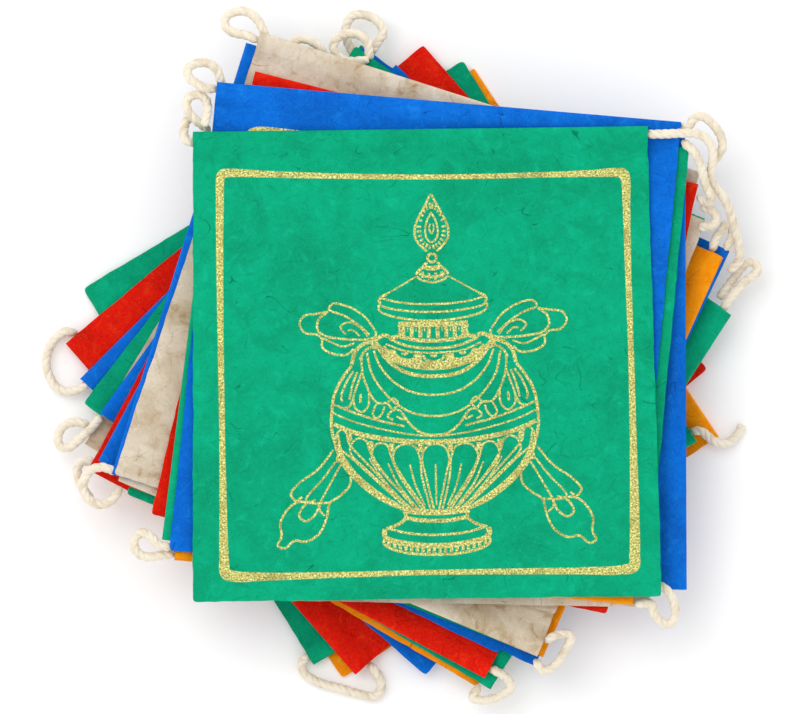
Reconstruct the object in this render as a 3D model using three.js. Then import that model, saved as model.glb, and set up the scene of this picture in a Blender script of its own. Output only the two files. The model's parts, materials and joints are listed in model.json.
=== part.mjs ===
// A garland of paper prayer flags on one cotton cord, folded up into a stack and fanned out.
// Sizes are in millimetres, with +Z up. The stack lies on its lowest flag at z = 0.
import * as THREE from 'three';

// One flag: handmade paper with one edge folded over into a tunnel for the cord
const PAPER = 1.0;
const HEM_WIDTH = 10;
const HEM_RUN_OUT = 4;
const HEM_THICKNESS = 2.6;
const CELLS_ALONG = 7;
const CELLS_DOWN = 6;
const DECKLE = 0.7;

// How one flag lies on the next
const AIR = 0.35;
const FALL = 0.17;
const SOFTENING = 14;
const CONTACT_ROUNDS = 240;
const CONTACT_SLACK = 0.02;
const SAMPLE_PITCH = 3;
const GROUND_CELL = 4;
const GROUND_REACH = 200;

// The cord
const CORD_DIAMETER = 5;
const CORD_SIDES = 8;
const CORD_STEP = 0.8 * CORD_DIAMETER;

// Colours of the paper and of the undyed cord
const DYES = {
  green: 0x00a878,
  blue: 0x0a6ad2,
  red: 0xd81406,
  orange: 0xf59a08,
  cream: 0xded2c0,
  cotton: 0xe8e0d2,
};

// The flags from the top of the stack down. x and y place the middle, turn is clockwise in degrees,
// wide and tall are the flag's sides, lean is how far its upright sides are off square in degrees,
// splay is how much longer the bottom side is than the top one, and taper is how much longer the right
// side is than the left one. hem is the side with the tunnel.
const FLAG_COLUMNS = ['dye', 'hem', 'x', 'y', 'turn', 'wide', 'tall', 'lean', 'splay', 'taper'];
const FLAG_ROWS = [
  ['green', 'top', 12.4, -2.0, -0.7, 219.7, 223.5, 0.2, 7.2, 0],
  ['blue', 'top', 13.6, 11.1, 4.9, 222.4, 224.0, -0.7, 1.5, 0],
  ['green', 'left', 15.1, 8.3, 6.5, 228.8, 213.7, 0.2, 6.8, -3.4],
  ['orange', 'bottom', 13.3, 4.8, 5.6, 219.5, 222.3, 0.2, 0, 0],
  ['cream', 'left', 14.2, -6.3, 1.1, 217.5, 219.2, -0.2, 0, 0],
  ['blue', 'right', 28.1, 1.1, -0.2, 218.4, 222.0, -0.1, 1.0, 0],
  ['red', 'top', 14.4, 6.5, 13.3, 220.1, 213.3, 0.7, 5, -7.5],
  ['cream', 'top', 4.8, 17.4, 17.7, 220.5, 222.4, -0.6, 0.8, 0],
  ['blue', 'left', 0.4, 17.1, 16.7, 218.6, 214.3, -0.9, -1.9, -2.7],
  ['cream', 'bottom', 6.1, 3.9, 22.3, 218.1, 221.4, 1.4, -1.8, 3.3],
  ['red', 'bottom', 5.7, 5.3, 21.3, 210.6, 217.2, -0.2, -5.5, -4.8],
  ['green', 'top', 7.3, 2.4, 21.7, 211.7, 224.4, 1, -5.5, -0.9],
  ['orange', 'right', 12.2, -1.2, 24.3, 219.9, 209.6, 0.1, -0.4, 0],
  ['blue', 'right', 13.1, -1.9, 24.5, 217.6, 219.3, -0.7, 0.2, 0],
  ['blue', 'left', 4.1, 2.6, 25.8, 212.1, 219.7, -2.2, 0.4, 0],
  ['red', 'bottom', -2.3, -5.3, 27.7, 214.2, 219.2, 0, 0, 0],
  ['green', 'right', 10.8, -8.6, 33.1, 217.7, 222.8, 1.2, -6.4, -19.1],
  ['orange', 'top', -0.5, -10.6, 30.2, 212.1, 213.9, 0.4, -0.8, -0.4],
  ['blue', 'left', 4.3, 0.4, 36.5, 208.5, 216.1, 0.7, -1.3, 0],
  ['cream', 'bottom', -1.6, -2.7, 31.2, 215.6, 217.7, 0, -1.4, 0],
  ['green', 'top', -1.7, 3.8, 36.6, 205.8, 215.3, -1.5, -2.6, -4.1],
  ['blue', 'left', 1.7, -3.6, 41.7, 209.7, 209.2, -1.1, 17.6, -8.1],
  ['red', 'bottom', -4.7, 1.0, 48.8, 209.1, 223.6, -0.8, 4.5, 0],
  ['green', 'right', -4.2, -1.9, 58.5, 213.1, 212.8, -0.9, -2.8, 0],
  ['orange', 'top', 5.0, -6.6, 56.4, 212.1, 214.7, -0.8, -0.7, 0],
];
const FLAGS = FLAG_ROWS.map((row) => Object.fromEntries(row.map((value, i) => [FLAG_COLUMNS[i], value])));

// The stretches of cord that show between the hems, each through points of x, y and z. tl, tr, br and bl
// are the corners of the stack. The first and the last row are the garland's two free ends.
const CORDS = [
  {
    node: 'cord_tl_0',
    route: [
      [-98.5, 103.5, 50.7], [-100.9, 104.7, 50.2], [-101.8, 108, 48.3], [-101.5, 111.4, 44.8],
      [-100.6, 114.5, 41.4],
    ],
  },
  {
    node: 'cord_tl_1',
    route: [
      [-92.4, 111.1, 44.8], [-96, 114, 47.4], [-99.3, 117.8, 48.6], [-100.7, 122.1, 48],
      [-98.6, 125.5, 46.8], [-94.5, 126.3, 46], [-91.2, 123.6, 47], [-90.5, 118.5, 49.3],
      [-91.4, 114, 50.8],
    ],
  },
  {
    node: 'cord_tl_2',
    route: [
      [-88, 129.1, 49.6], [-91.2, 129.3, 50.6], [-95.2, 131.2, 50.8], [-99.1, 134.3, 49.8],
      [-100.1, 138.4, 48.6], [-96, 141.2, 47.8], [-90, 141.2, 47.2], [-85.9, 137.9, 46.7],
      [-84.5, 133.6, 46.3],
    ],
  },
  {
    node: 'cord_tl_3',
    route: [
      [-67.8, 153.1, 37.8], [-72.5, 155, 36.6], [-78.8, 156.5, 35], [-82.4, 159.7, 33.8],
      [-81.6, 164.2, 33], [-76.1, 166.6, 32.6], [-70.9, 165.9, 33], [-66.8, 162.3, 34],
      [-64.3, 157.6, 34.8],
    ],
  },
  {
    node: 'cord_tl_4',
    route: [
      [-52.2, 150.1, 33.6], [-48.6, 152.7, 33.4], [-44.1, 153.2, 32.2], [-39.1, 150.8, 30.6],
      [-36.2, 147.9, 29],
    ],
  },
  {
    node: 'cord_tl_5',
    route: [
      [-17.3, 143.2, 23.4], [-22.3, 142.9, 23.3], [-27.8, 144.8, 22.9], [-30.7, 149.1, 21.8],
      [-29.3, 153.7, 21.2], [-24.3, 156.1, 20.8], [-18.5, 155.6, 20.8], [-14.5, 152, 21],
      [-13.7, 147.2, 21.4],
    ],
  },
  {
    node: 'cord_tl_6',
    route: [
      [-11.9, 148.5, 14.1], [-9.3, 152.5, 13.2], [-6.8, 157.3, 12.4], [-9.7, 162.5, 11.8],
      [-15.7, 165.5, 11.2], [-21.4, 165.1, 10.8], [-24.5, 161.1, 10.4], [-24.7, 155.8, 10.1],
      [-23.5, 151, 9.9], [-21.7, 147.6, 9.8],
    ],
  },
  {
    node: 'cord_bl_1',
    route: [
      [-109.6, -88.9, 48.4], [-113.9, -88, 48.6], [-117.7, -84, 48.2], [-121.5, -82.2, 47.6],
      [-125.1, -85.1, 46.8], [-125.3, -89.6, 45.8], [-122, -93.2, 45], [-116.8, -93.8, 44.4],
      [-111.3, -92.8, 44.1], [-107.9, -92.6, 43.9],
    ],
  },
  {
    node: 'cord_bl_2',
    route: [
      [-136.4, -52.7, 34.8], [-140.4, -51.3, 35], [-145.7, -52.1, 35], [-149.3, -56.2, 34.6],
      [-150.2, -61.7, 34], [-147.3, -66.7, 33.6], [-142, -69.1, 33.4], [-137.1, -67.4, 32.9],
      [-133.6, -63.1, 32.3],
    ],
  },
  {
    node: 'cord_bl_3',
    route: [
      [-147.8, -48.5, 19.5], [-151.2, -48.8, 20.5], [-153.2, -51.9, 22], [-152.8, -56.6, 24],
      [-151.2, -60.7, 26], [-148.5, -64.1, 27.5],
    ],
  },
  {
    node: 'cord_bl_4',
    route: [
      [-143.7, -29.2, 15.1], [-146.6, -32.5, 16.4], [-150, -35.9, 17.6], [-153.6, -39, 17.6],
      [-157.6, -42, 16.6], [-161.2, -41.8, 15.4], [-162.9, -38.5, 14], [-161.9, -33.9, 12.6],
      [-158.3, -30.6, 11.6], [-153.8, -29.9, 11], [-150.5, -30.6, 10.7],
    ],
  },
  {
    node: 'cord_bl_5',
    route: [
      [-156.5, 13.3, 4.4], [-159.5, 13.6, 4.8], [-164.1, 10.5, 5], [-167.7, 4.8, 5], [-168.8, -1.7, 5],
      [-167.2, -8.1, 5], [-163.4, -13.6, 5.4], [-158.1, -15.2, 6], [-153.1, -14.1, 6.6],
      [-150, -12.3, 7],
    ],
  },
  {
    node: 'cord_br_1',
    route: [
      [121.2, -109.1, 41.8], [125.8, -108, 42.4], [129.9, -111.9, 42.8], [132, -117.3, 42.4],
      [132, -122.8, 41.8], [128.9, -126.2, 41.8], [125.1, -124.3, 42.3], [121.8, -120, 43],
      [121.1, -116.4, 43.5], [115.8, -116.2, 43.6],
    ],
  },
  {
    node: 'cord_br_2',
    route: [
      [72.3, -133.1, 35], [75.9, -131.4, 34.5], [80.2, -130.7, 33.2], [82.8, -132.2, 31.6],
      [80.7, -137.7, 30.2], [75.2, -145.8, 29], [69.4, -148.4, 28.6], [66.8, -145.3, 29],
    ],
  },
  {
    node: 'cord_br_3',
    route: [
      [45.9, -148.5, 20.6], [51.3, -151.5, 20.6], [54.4, -156.5, 19.4], [49.8, -160.5, 18.2],
      [41.5, -163.1, 17.5], [35.7, -161.6, 17.4], [37.9, -157.9, 17.5],
    ],
  },
  {
    node: 'cord_br_4',
    route: [
      [-43.8, -142.8, 4.3], [-46.2, -145.3, 4.3], [-45.1, -150.1, 4.2], [-39.1, -154.4, 4],
      [-26.9, -158, 3.8], [-17.1, -160.8, 3.6], [-10.9, -161.6, 3.6], [-8, -157.7, 4],
      [-9.2, -151.8, 5], [-12.5, -147.5, 5.9],
    ],
  },
  {
    node: 'cord_tr_0',
    route: [
      [120.3, 107.4, 52.6], [127.7, 107.5, 52.7], [134.4, 107.8, 52.6], [140.7, 107.8, 52.4],
      [145.9, 106.1, 51.2], [149.3, 102.1, 49.6], [150.1, 96.3, 47.6], [149.3, 90.8, 45],
      [148.8, 86.8, 42.9], [150.9, 82.9, 40.8], [154.5, 78.9, 38.7], [157.9, 72.7, 36.2],
      [160, 66, 33.6], [161.7, 59.3, 31], [163.1, 53.1, 28.6], [163.4, 47.8, 26.4], [160.2, 44, 24],
    ],
  },
  {
    node: 'cord_tr_1',
    route: [
      [136, 110.8, 48], [138.3, 110.9, 48], [140.6, 114.2, 48.2], [143.5, 116.1, 48.4],
      [147.1, 114.9, 47.8], [151.2, 111.1, 47], [154, 106.4, 46], [154.8, 101.6, 44.6],
      [153.1, 97.8, 42.8],
    ],
  },
  {
    node: 'cord_tr_2',
    route: [
      [137.3, 102.6, 49.7], [141.1, 98.9, 49.6], [143.8, 93.9, 49.2], [145.4, 88, 48.6],
      [147.1, 82, 46.6], [149.7, 77.4, 43.6], [148.3, 74.6, 41], [145, 76.7, 39],
    ],
  },
  {
    node: 'cord_tr_3',
    route: [
      [147.6, 72.4, 34.4], [150.8, 70.7, 33.4], [152.3, 67.4, 32.6], [150.2, 64.1, 33],
      [146.9, 63.6, 33.7],
    ],
  },
  {
    node: 'cord_tr_4',
    route: [
      [150.9, 54.3, 26.6], [152.1, 58.1, 27.2], [154.8, 61.9, 27.3], [157.4, 65, 26.9],
      [160, 63.8, 25.7], [159.8, 59.3, 24.3], [157.8, 54, 23],
    ],
  },
  {
    node: 'cord_tr_5',
    route: [
      [156.2, 25.1, 17.2], [160, 30.4, 17.8], [165.5, 36.8, 17.6], [170, 40.2, 17.2], [172.4, 43, 16.8],
      [171.2, 46.2, 16.4], [167.7, 46.6, 16], [164.1, 43.3, 15.6], [159.8, 37.5, 15],
      [155.9, 32.3, 14.4],
    ],
  },
  {
    node: 'cord_tr_6',
    route: [
      [143, -34.1, 6], [145.7, -34.2, 6.6], [148.8, -36.6, 7], [152.1, -39.2, 7], [155.9, -40.1, 6.2],
      [159.8, -39, 4.6], [162.9, -36.1, 3.2], [165.7, -31.5, 2.6],
    ],
  },
];

// The corners of a flag, in the order that starts with the two ends of its hem
const HEM_CORNERS = {
  top: ['topLeft', 'topRight', 'bottomRight', 'bottomLeft'],
  right: ['topRight', 'bottomRight', 'bottomLeft', 'topLeft'],
  bottom: ['bottomRight', 'bottomLeft', 'topLeft', 'topRight'],
  left: ['bottomLeft', 'topLeft', 'topRight', 'bottomRight'],
};

/** The highest surface laid so far, kept on a square grid of cells. */
class Ground {
  constructor(reach, cell) {
    this.reach = reach;
    this.cell = cell;
    this.across = Math.ceil((2 * reach) / cell);
    this.tops = new Float64Array(this.across * this.across);
  }

  index(x, y) {
    const column = Math.floor((x + this.reach) / this.cell);
    const row = Math.floor((y + this.reach) / this.cell);
    return row * this.across + column;
  }

  at(x, y) {
    return this.tops[this.index(x, y)];
  }

  raise(x, y, z) {
    const i = this.index(x, y);
    this.tops[i] = Math.max(this.tops[i], z);
  }
}

function flagCorners(flag) {
  const turn = THREE.MathUtils.degToRad(-flag.turn);
  const along = new THREE.Vector2(Math.cos(turn), Math.sin(turn));
  const upright = turn + Math.PI / 2 + THREE.MathUtils.degToRad(flag.lean);
  const up = new THREE.Vector2(Math.cos(upright), Math.sin(upright));
  const middle = new THREE.Vector2(flag.x, flag.y);
  const corner = (side, end) => {
    const width = flag.wide - (end * flag.splay) / 2;
    const height = flag.tall + (side * flag.taper) / 2;
    const across = along.clone().multiplyScalar((side * width) / 2);
    return middle.clone().add(across).addScaledVector(up, (end * height) / 2);
  };
  return {
    topLeft: corner(-1, 1),
    topRight: corner(1, 1),
    bottomRight: corner(1, -1),
    bottomLeft: corner(-1, -1),
  };
}

/** A flag's sheet as rows of points, the first row along the hem's fold. */
function flagLattice(flag, number) {
  const corners = flagCorners(flag);
  const [start, end, farEnd, farStart] = HEM_CORNERS[flag.hem].map((name) => corners[name]);
  const depth = (start.distanceTo(farStart) + end.distanceTo(farEnd)) / 2;
  const plain = depth - HEM_WIDTH - HEM_RUN_OUT;
  const rowPlaces = [0, HEM_WIDTH];
  for (let row = 0; row <= CELLS_DOWN; row += 1) {
    rowPlaces.push(HEM_WIDTH + HEM_RUN_OUT + (plain * row) / CELLS_DOWN);
  }
  const lattice = { points: [], thickness: [], rows: rowPlaces.length, columns: CELLS_ALONG + 1 };
  rowPlaces.forEach((place, row) => {
    for (let column = 0; column < lattice.columns; column += 1) {
      const s = column / CELLS_ALONG;
      const t = place / depth;
      const near = start.clone().lerp(end, s);
      const far = farStart.clone().lerp(farEnd, s);
      const point = near.lerp(far, t);
      point.add(deckle(lattice, row, column, number, end.clone().sub(start), far.clone().sub(point)));
      lattice.points.push(point);
      lattice.thickness.push(row < 2 ? HEM_THICKNESS : PAPER);
    }
  });
  return lattice;
}

/** The small in-and-out of a handmade paper's edge, none at the corners. */
function deckle(lattice, row, column, number, along, down) {
  const lastRow = lattice.rows - 1;
  const onSide = column === 0 || column === lattice.columns - 1;
  const onEnd = row === 0 || row === lastRow;
  if (onSide === onEnd || row === 1) return new THREE.Vector2();
  const wave = Math.sin(2.3 * row + 1.7 * column + 1.1 * number);
  return (onSide ? along : down).clone().normalize().multiplyScalar(DECKLE * wave);
}

function latticeTriangles(lattice) {
  const triangles = [];
  for (let row = 0; row < lattice.rows - 1; row += 1) {
    for (let column = 0; column < lattice.columns - 1; column += 1) {
      const a = row * lattice.columns + column;
      const b = a + 1;
      const c = a + lattice.columns;
      const d = c + 1;
      triangles.push([a, b, c], [b, d, c]);
    }
  }
  return triangles;
}

/** Places all over the sheet, each with the corners of its triangle and their weights. */
function latticeSamples(lattice) {
  const samples = [];
  for (const corners of latticeTriangles(lattice)) {
    const [a, b, c] = corners.map((i) => lattice.points[i]);
    const longest = Math.max(a.distanceTo(b), b.distanceTo(c), c.distanceTo(a));
    const cuts = Math.max(2, Math.ceil(longest / SAMPLE_PITCH));
    for (let i = 0; i <= cuts; i += 1) {
      for (let j = 0; j <= cuts - i; j += 1) {
        const weights = [i / cuts, j / cuts, (cuts - i - j) / cuts];
        const x = weights[0] * a.x + weights[1] * b.x + weights[2] * c.x;
        const y = weights[0] * a.y + weights[1] * b.y + weights[2] * c.y;
        samples.push({ x, y, corners, weights, spread: weights.reduce((sum, w) => sum + w * w, 0) });
      }
    }
  }
  return samples;
}

function blend(values, sample) {
  return sample.corners.reduce((sum, corner, k) => sum + sample.weights[k] * values[corner], 0);
}

/** The heights of a stiff sheet that rests on the ground's high places and falls away past them. */
function stiffHeights(lattice, samples, ground) {
  return lattice.points.map((point) => {
    let height = AIR;
    for (const sample of samples) {
      const reach = Math.hypot(sample.x - point.x, sample.y - point.y);
      height = Math.max(height, ground.at(sample.x, sample.y) + AIR - FALL * reach);
    }
    return height;
  });
}

function softened(lattice, heights) {
  const { rows, columns } = lattice;
  return heights.map((height, i) => {
    const row = Math.floor(i / columns);
    const column = i % columns;
    let sum = 0;
    let count = 0;
    for (const [r, c] of [[row - 1, column], [row + 1, column], [row, column - 1], [row, column + 1]]) {
      if (r >= 0 && r < rows && c >= 0 && c < columns) {
        sum += heights[r * columns + c];
        count += 1;
      }
    }
    return 0.5 * height + (0.5 * sum) / count;
  });
}

/** Lifts the sheet where it would sink into the ground; returns the deepest place found. */
function lift(heights, samples, ground) {
  let deepest = 0;
  for (const sample of samples) {
    const short = ground.at(sample.x, sample.y) + AIR - blend(heights, sample);
    if (short > 0) {
      deepest = Math.max(deepest, short);
      sample.corners.forEach((corner, k) => {
        heights[corner] += (short * sample.weights[k]) / sample.spread;
      });
    }
  }
  return deepest;
}

function layFlag(lattice, ground, isLowest) {
  const samples = latticeSamples(lattice);
  let heights = lattice.points.map(() => 0);
  if (!isLowest) {
    heights = stiffHeights(lattice, samples, ground);
    for (let round = 0; round < SOFTENING; round += 1) {
      heights = softened(lattice, heights);
      lift(heights, samples, ground);
    }
    for (let round = 0; round < CONTACT_ROUNDS; round += 1) {
      if (lift(heights, samples, ground) < CONTACT_SLACK) break;
    }
  }
  const tops = heights.map((height, i) => height + lattice.thickness[i]);
  for (const sample of samples) {
    ground.raise(sample.x, sample.y, blend(tops, sample));
  }
  return heights;
}

/** The closed solid between a sheet's underside and its upper side. */
function sheetGeometry(lattice, heights) {
  const count = lattice.points.length;
  const positions = [];
  lattice.points.forEach((point, i) => {
    positions.push(point.x, point.y, heights[i] + lattice.thickness[i]);
  });
  lattice.points.forEach((point, i) => {
    positions.push(point.x, point.y, heights[i]);
  });
  const indices = [];
  for (const [a, b, c] of latticeTriangles(lattice)) {
    indices.push(a, c, b, a + count, b + count, c + count);
  }
  const rim = rimOf(lattice);
  rim.forEach((a, k) => {
    const b = rim[(k + 1) % rim.length];
    indices.push(a, b, b + count, a, b + count, a + count);
  });
  const geometry = new THREE.BufferGeometry();
  geometry.setAttribute('position', new THREE.Float32BufferAttribute(positions, 3));
  geometry.setIndex(indices);
  geometry.computeVertexNormals();
  return geometry;
}

function rimOf(lattice) {
  const { rows, columns } = lattice;
  const rim = [];
  for (let column = 0; column < columns - 1; column += 1) rim.push(column);
  for (let row = 0; row < rows - 1; row += 1) rim.push(row * columns + columns - 1);
  for (let column = columns - 1; column > 0; column -= 1) rim.push((rows - 1) * columns + column);
  for (let row = rows - 1; row > 0; row -= 1) rim.push(row * columns);
  return rim;
}

/** A round cord along the smooth line through its route's points. */
function cordGeometry(route) {
  const line = new THREE.CatmullRomCurve3(route.map((point) => new THREE.Vector3(...point)));
  const section = new THREE.Shape();
  section.moveTo(CORD_DIAMETER / 2, 0);
  for (let side = 1; side < CORD_SIDES; side += 1) {
    const angle = (2 * Math.PI * side) / CORD_SIDES;
    section.lineTo((CORD_DIAMETER / 2) * Math.cos(angle), (CORD_DIAMETER / 2) * Math.sin(angle));
  }
  section.closePath();
  const steps = Math.ceil(line.getLength() / CORD_STEP);
  return new THREE.ExtrudeGeometry(section, { steps, bevelEnabled: false, extrudePath: line });
}

function named(name, geometry, dye) {
  const material = new THREE.MeshStandardMaterial({ color: DYES[dye], roughness: 0.85, metalness: 0 });
  const mesh = new THREE.Mesh(geometry, material);
  mesh.name = name;
  return mesh;
}

/** Lays the flags from the lowest one up, each on those under it. */
function buildFlags() {
  const ground = new Ground(GROUND_REACH, GROUND_CELL);
  const meshes = [];
  for (let i = FLAGS.length - 1; i >= 0; i -= 1) {
    const lattice = flagLattice(FLAGS[i], i);
    const heights = layFlag(lattice, ground, i === FLAGS.length - 1);
    const name = `flag_${String(i + 1).padStart(2, '0')}_${FLAGS[i].dye}`;
    meshes.unshift(named(name, sheetGeometry(lattice, heights), FLAGS[i].dye));
  }
  return meshes;
}

function buildCords() {
  return CORDS.map((cord) => named(cord.node, cordGeometry(cord.route), 'cotton'));
}

const garland = new THREE.Group();
garland.name = 'prayer_flag_garland';
garland.add(...buildFlags(), ...buildCords());

export default garland;
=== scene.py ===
"""A garland of paper prayer flags, folded up and fanned out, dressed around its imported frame.

Lengths are in metres. The flags' places and sizes are read from the frame's solids, and the
cord's routes repeat the points that the solids follow.
"""

import json
import logging
import math
from dataclasses import dataclass, field, replace
from enum import Enum
from typing import ClassVar, Iterable, Sequence

import bpy
import numpy as np
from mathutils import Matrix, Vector, noise
from mathutils.bvhtree import BVHTree

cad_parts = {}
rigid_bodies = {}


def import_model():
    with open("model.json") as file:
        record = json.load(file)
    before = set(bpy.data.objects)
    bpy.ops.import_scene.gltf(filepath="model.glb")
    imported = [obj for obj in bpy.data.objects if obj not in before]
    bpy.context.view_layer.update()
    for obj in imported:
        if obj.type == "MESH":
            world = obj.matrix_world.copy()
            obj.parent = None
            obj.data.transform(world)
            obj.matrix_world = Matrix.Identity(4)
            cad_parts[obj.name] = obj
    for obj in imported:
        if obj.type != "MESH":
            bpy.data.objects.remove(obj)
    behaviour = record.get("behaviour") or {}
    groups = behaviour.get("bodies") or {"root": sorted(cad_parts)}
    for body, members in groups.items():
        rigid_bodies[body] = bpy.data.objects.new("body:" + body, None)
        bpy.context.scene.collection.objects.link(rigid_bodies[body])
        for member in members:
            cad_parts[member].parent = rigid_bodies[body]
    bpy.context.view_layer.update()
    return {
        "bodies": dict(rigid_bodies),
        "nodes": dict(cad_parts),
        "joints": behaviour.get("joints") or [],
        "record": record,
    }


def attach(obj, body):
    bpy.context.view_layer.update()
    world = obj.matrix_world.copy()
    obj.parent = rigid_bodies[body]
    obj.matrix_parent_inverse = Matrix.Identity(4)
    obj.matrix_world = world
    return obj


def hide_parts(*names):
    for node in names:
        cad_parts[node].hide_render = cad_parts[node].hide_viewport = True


LOG = logging.getLogger("prayer_flags")
MM = 0.001
SHEET_MAP = "Sheet"
UP = Vector((0.0, 0.0, 1.0))
DOWN = Vector((0.0, 0.0, -1.0))

Point = tuple[float, float, float]
Route = tuple[Point, ...]
Colour = tuple[float, float, float]


def linear(red: int, green: int, blue: int) -> Colour:
    """Turn a display colour into a linear one.

    Args:
        red: Red from 0 to 255.
        green: Green from 0 to 255.
        blue: Blue from 0 to 255.

    Returns:
        The linear colour, from 0 to 1.
    """
    shares = (value / 255 for value in (red, green, blue))
    return tuple(v / 12.92 if v <= 0.04045 else ((v + 0.055) / 1.055) ** 2.4 for v in shares)


def wave(place: Sequence[float], length: float, seed: float) -> float:
    """Give smooth noise from about -1 to 1.

    Args:
        place: Where it is read.
        length: The distance over which it changes.
        seed: Picks one of many such patterns.

    Returns:
        The noise there.
    """
    x, y = place[0] / length, place[1] / length
    return noise.noise(Vector((x + 17.3 * seed, y - 9.1 * seed, 3.7 * seed)))


# Shader node groups and finishes


class Shader:
    """A node tree that is built up by short calls."""

    def __init__(self, tree: bpy.types.NodeTree) -> None:
        """Start on a tree.

        Args:
            tree: The material's or the group's tree.
        """
        self.tree = tree

    def add(self, kind: str, inputs: dict | None = None, **settings: object) -> bpy.types.Node:
        """Add a node, set it up and link what feeds it.

        Args:
            kind: The node's type.
            inputs: Socket name or number to a value or to the socket that feeds it.
            **settings: The node's own settings.

        Returns:
            The node.
        """
        node = self.tree.nodes.new(kind)
        for name, value in settings.items():
            setattr(node, name, value)
        for key, value in (inputs or {}).items():
            if isinstance(value, bpy.types.NodeSocket):
                self.tree.links.new(value, node.inputs[key])
            else:
                node.inputs[key].default_value = value
        return node

    def noise(self, vector: bpy.types.NodeSocket, scale: float, **inputs: float) -> bpy.types.NodeSocket:
        """Add smooth noise.

        Args:
            vector: The coordinates that it is read at.
            scale: How fine it is.
            **inputs: Other inputs of the noise, such as detail, roughness or distortion.

        Returns:
            The noise's value.
        """
        values = {"Vector": vector, "Scale": scale, "Detail": 3.0}
        values.update({key.replace("_", " ").title(): value for key, value in inputs.items()})
        return self.add("ShaderNodeTexNoise", values).outputs[0]

    def math(self, operation: str, *values: object) -> bpy.types.NodeSocket:
        """Add a math node and give its value."""
        return self.add("ShaderNodeMath", dict(enumerate(values)), operation=operation).outputs[0]

    def ridge(self, value: bpy.types.NodeSocket, width: float) -> bpy.types.NodeSocket:
        """Draw the lines where noise passes its middle.

        Args:
            value: The noise.
            width: How far from its middle the lines fade out.

        Returns:
            1 on the lines and 0 away from them.
        """
        away = self.math("ABSOLUTE", self.math("SUBTRACT", value, 0.5))
        return self.fit(away, 0.0, width, 1.0, 0.0)

    def fit(self, value: bpy.types.NodeSocket, low: float, high: float, first: float = 0.0,
            last: float = 1.0) -> bpy.types.NodeSocket:
        """Map a value from one range smoothly to another.

        Args:
            value: The value.
            low: Where the first range starts.
            high: Where the first range ends.
            first: The result at low.
            last: The result at high.

        Returns:
            The mapped value.
        """
        inputs = {0: value, 1: low, 2: high, 3: first, 4: last}
        return self.add("ShaderNodeMapRange", inputs, interpolation_type="SMOOTHSTEP").outputs[0]

    def mix(self, factor: object, first: object, second: object) -> bpy.types.NodeSocket:
        """Mix two colours.

        Args:
            factor: The share of the second colour.
            first: The first colour.
            second: The second colour.

        Returns:
            The mixed colour.
        """
        inputs = {0: factor, 6: first, 7: second}
        return self.add("ShaderNodeMix", inputs, data_type="RGBA").outputs[2]


class EffectGroup:
    """A shader node group with named sockets, built once for all the finishes that use it."""

    name = "effect"
    inputs: tuple[tuple[str, str], ...] = ()
    outputs: tuple[tuple[str, str], ...] = ()

    def tree(self) -> bpy.types.NodeTree:
        """Give the group, built at its first use.

        Returns:
            The node group.
        """
        made = bpy.data.node_groups.get(self.name)
        if made:
            return made
        group = bpy.data.node_groups.new(self.name, "ShaderNodeTree")
        for direction, sockets in (("INPUT", self.inputs), ("OUTPUT", self.outputs)):
            for name, kind in sockets:
                group.interface.new_socket(name=name, in_out=direction, socket_type=kind)
        shader = Shader(group)
        source = shader.add("NodeGroupInput").outputs
        results = self.build(shader, source)
        shader.add("NodeGroupOutput", dict(zip((name for name, _ in self.outputs), results)))
        return group

    def build(self, shader: Shader, source: bpy.types.NodeOutputs) -> tuple:
        """Make the group's nodes.

        Args:
            shader: The tree to build in.
            source: The group's inputs.

        Returns:
            The sockets that feed the group's outputs, in order.
        """
        raise NotImplementedError


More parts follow.
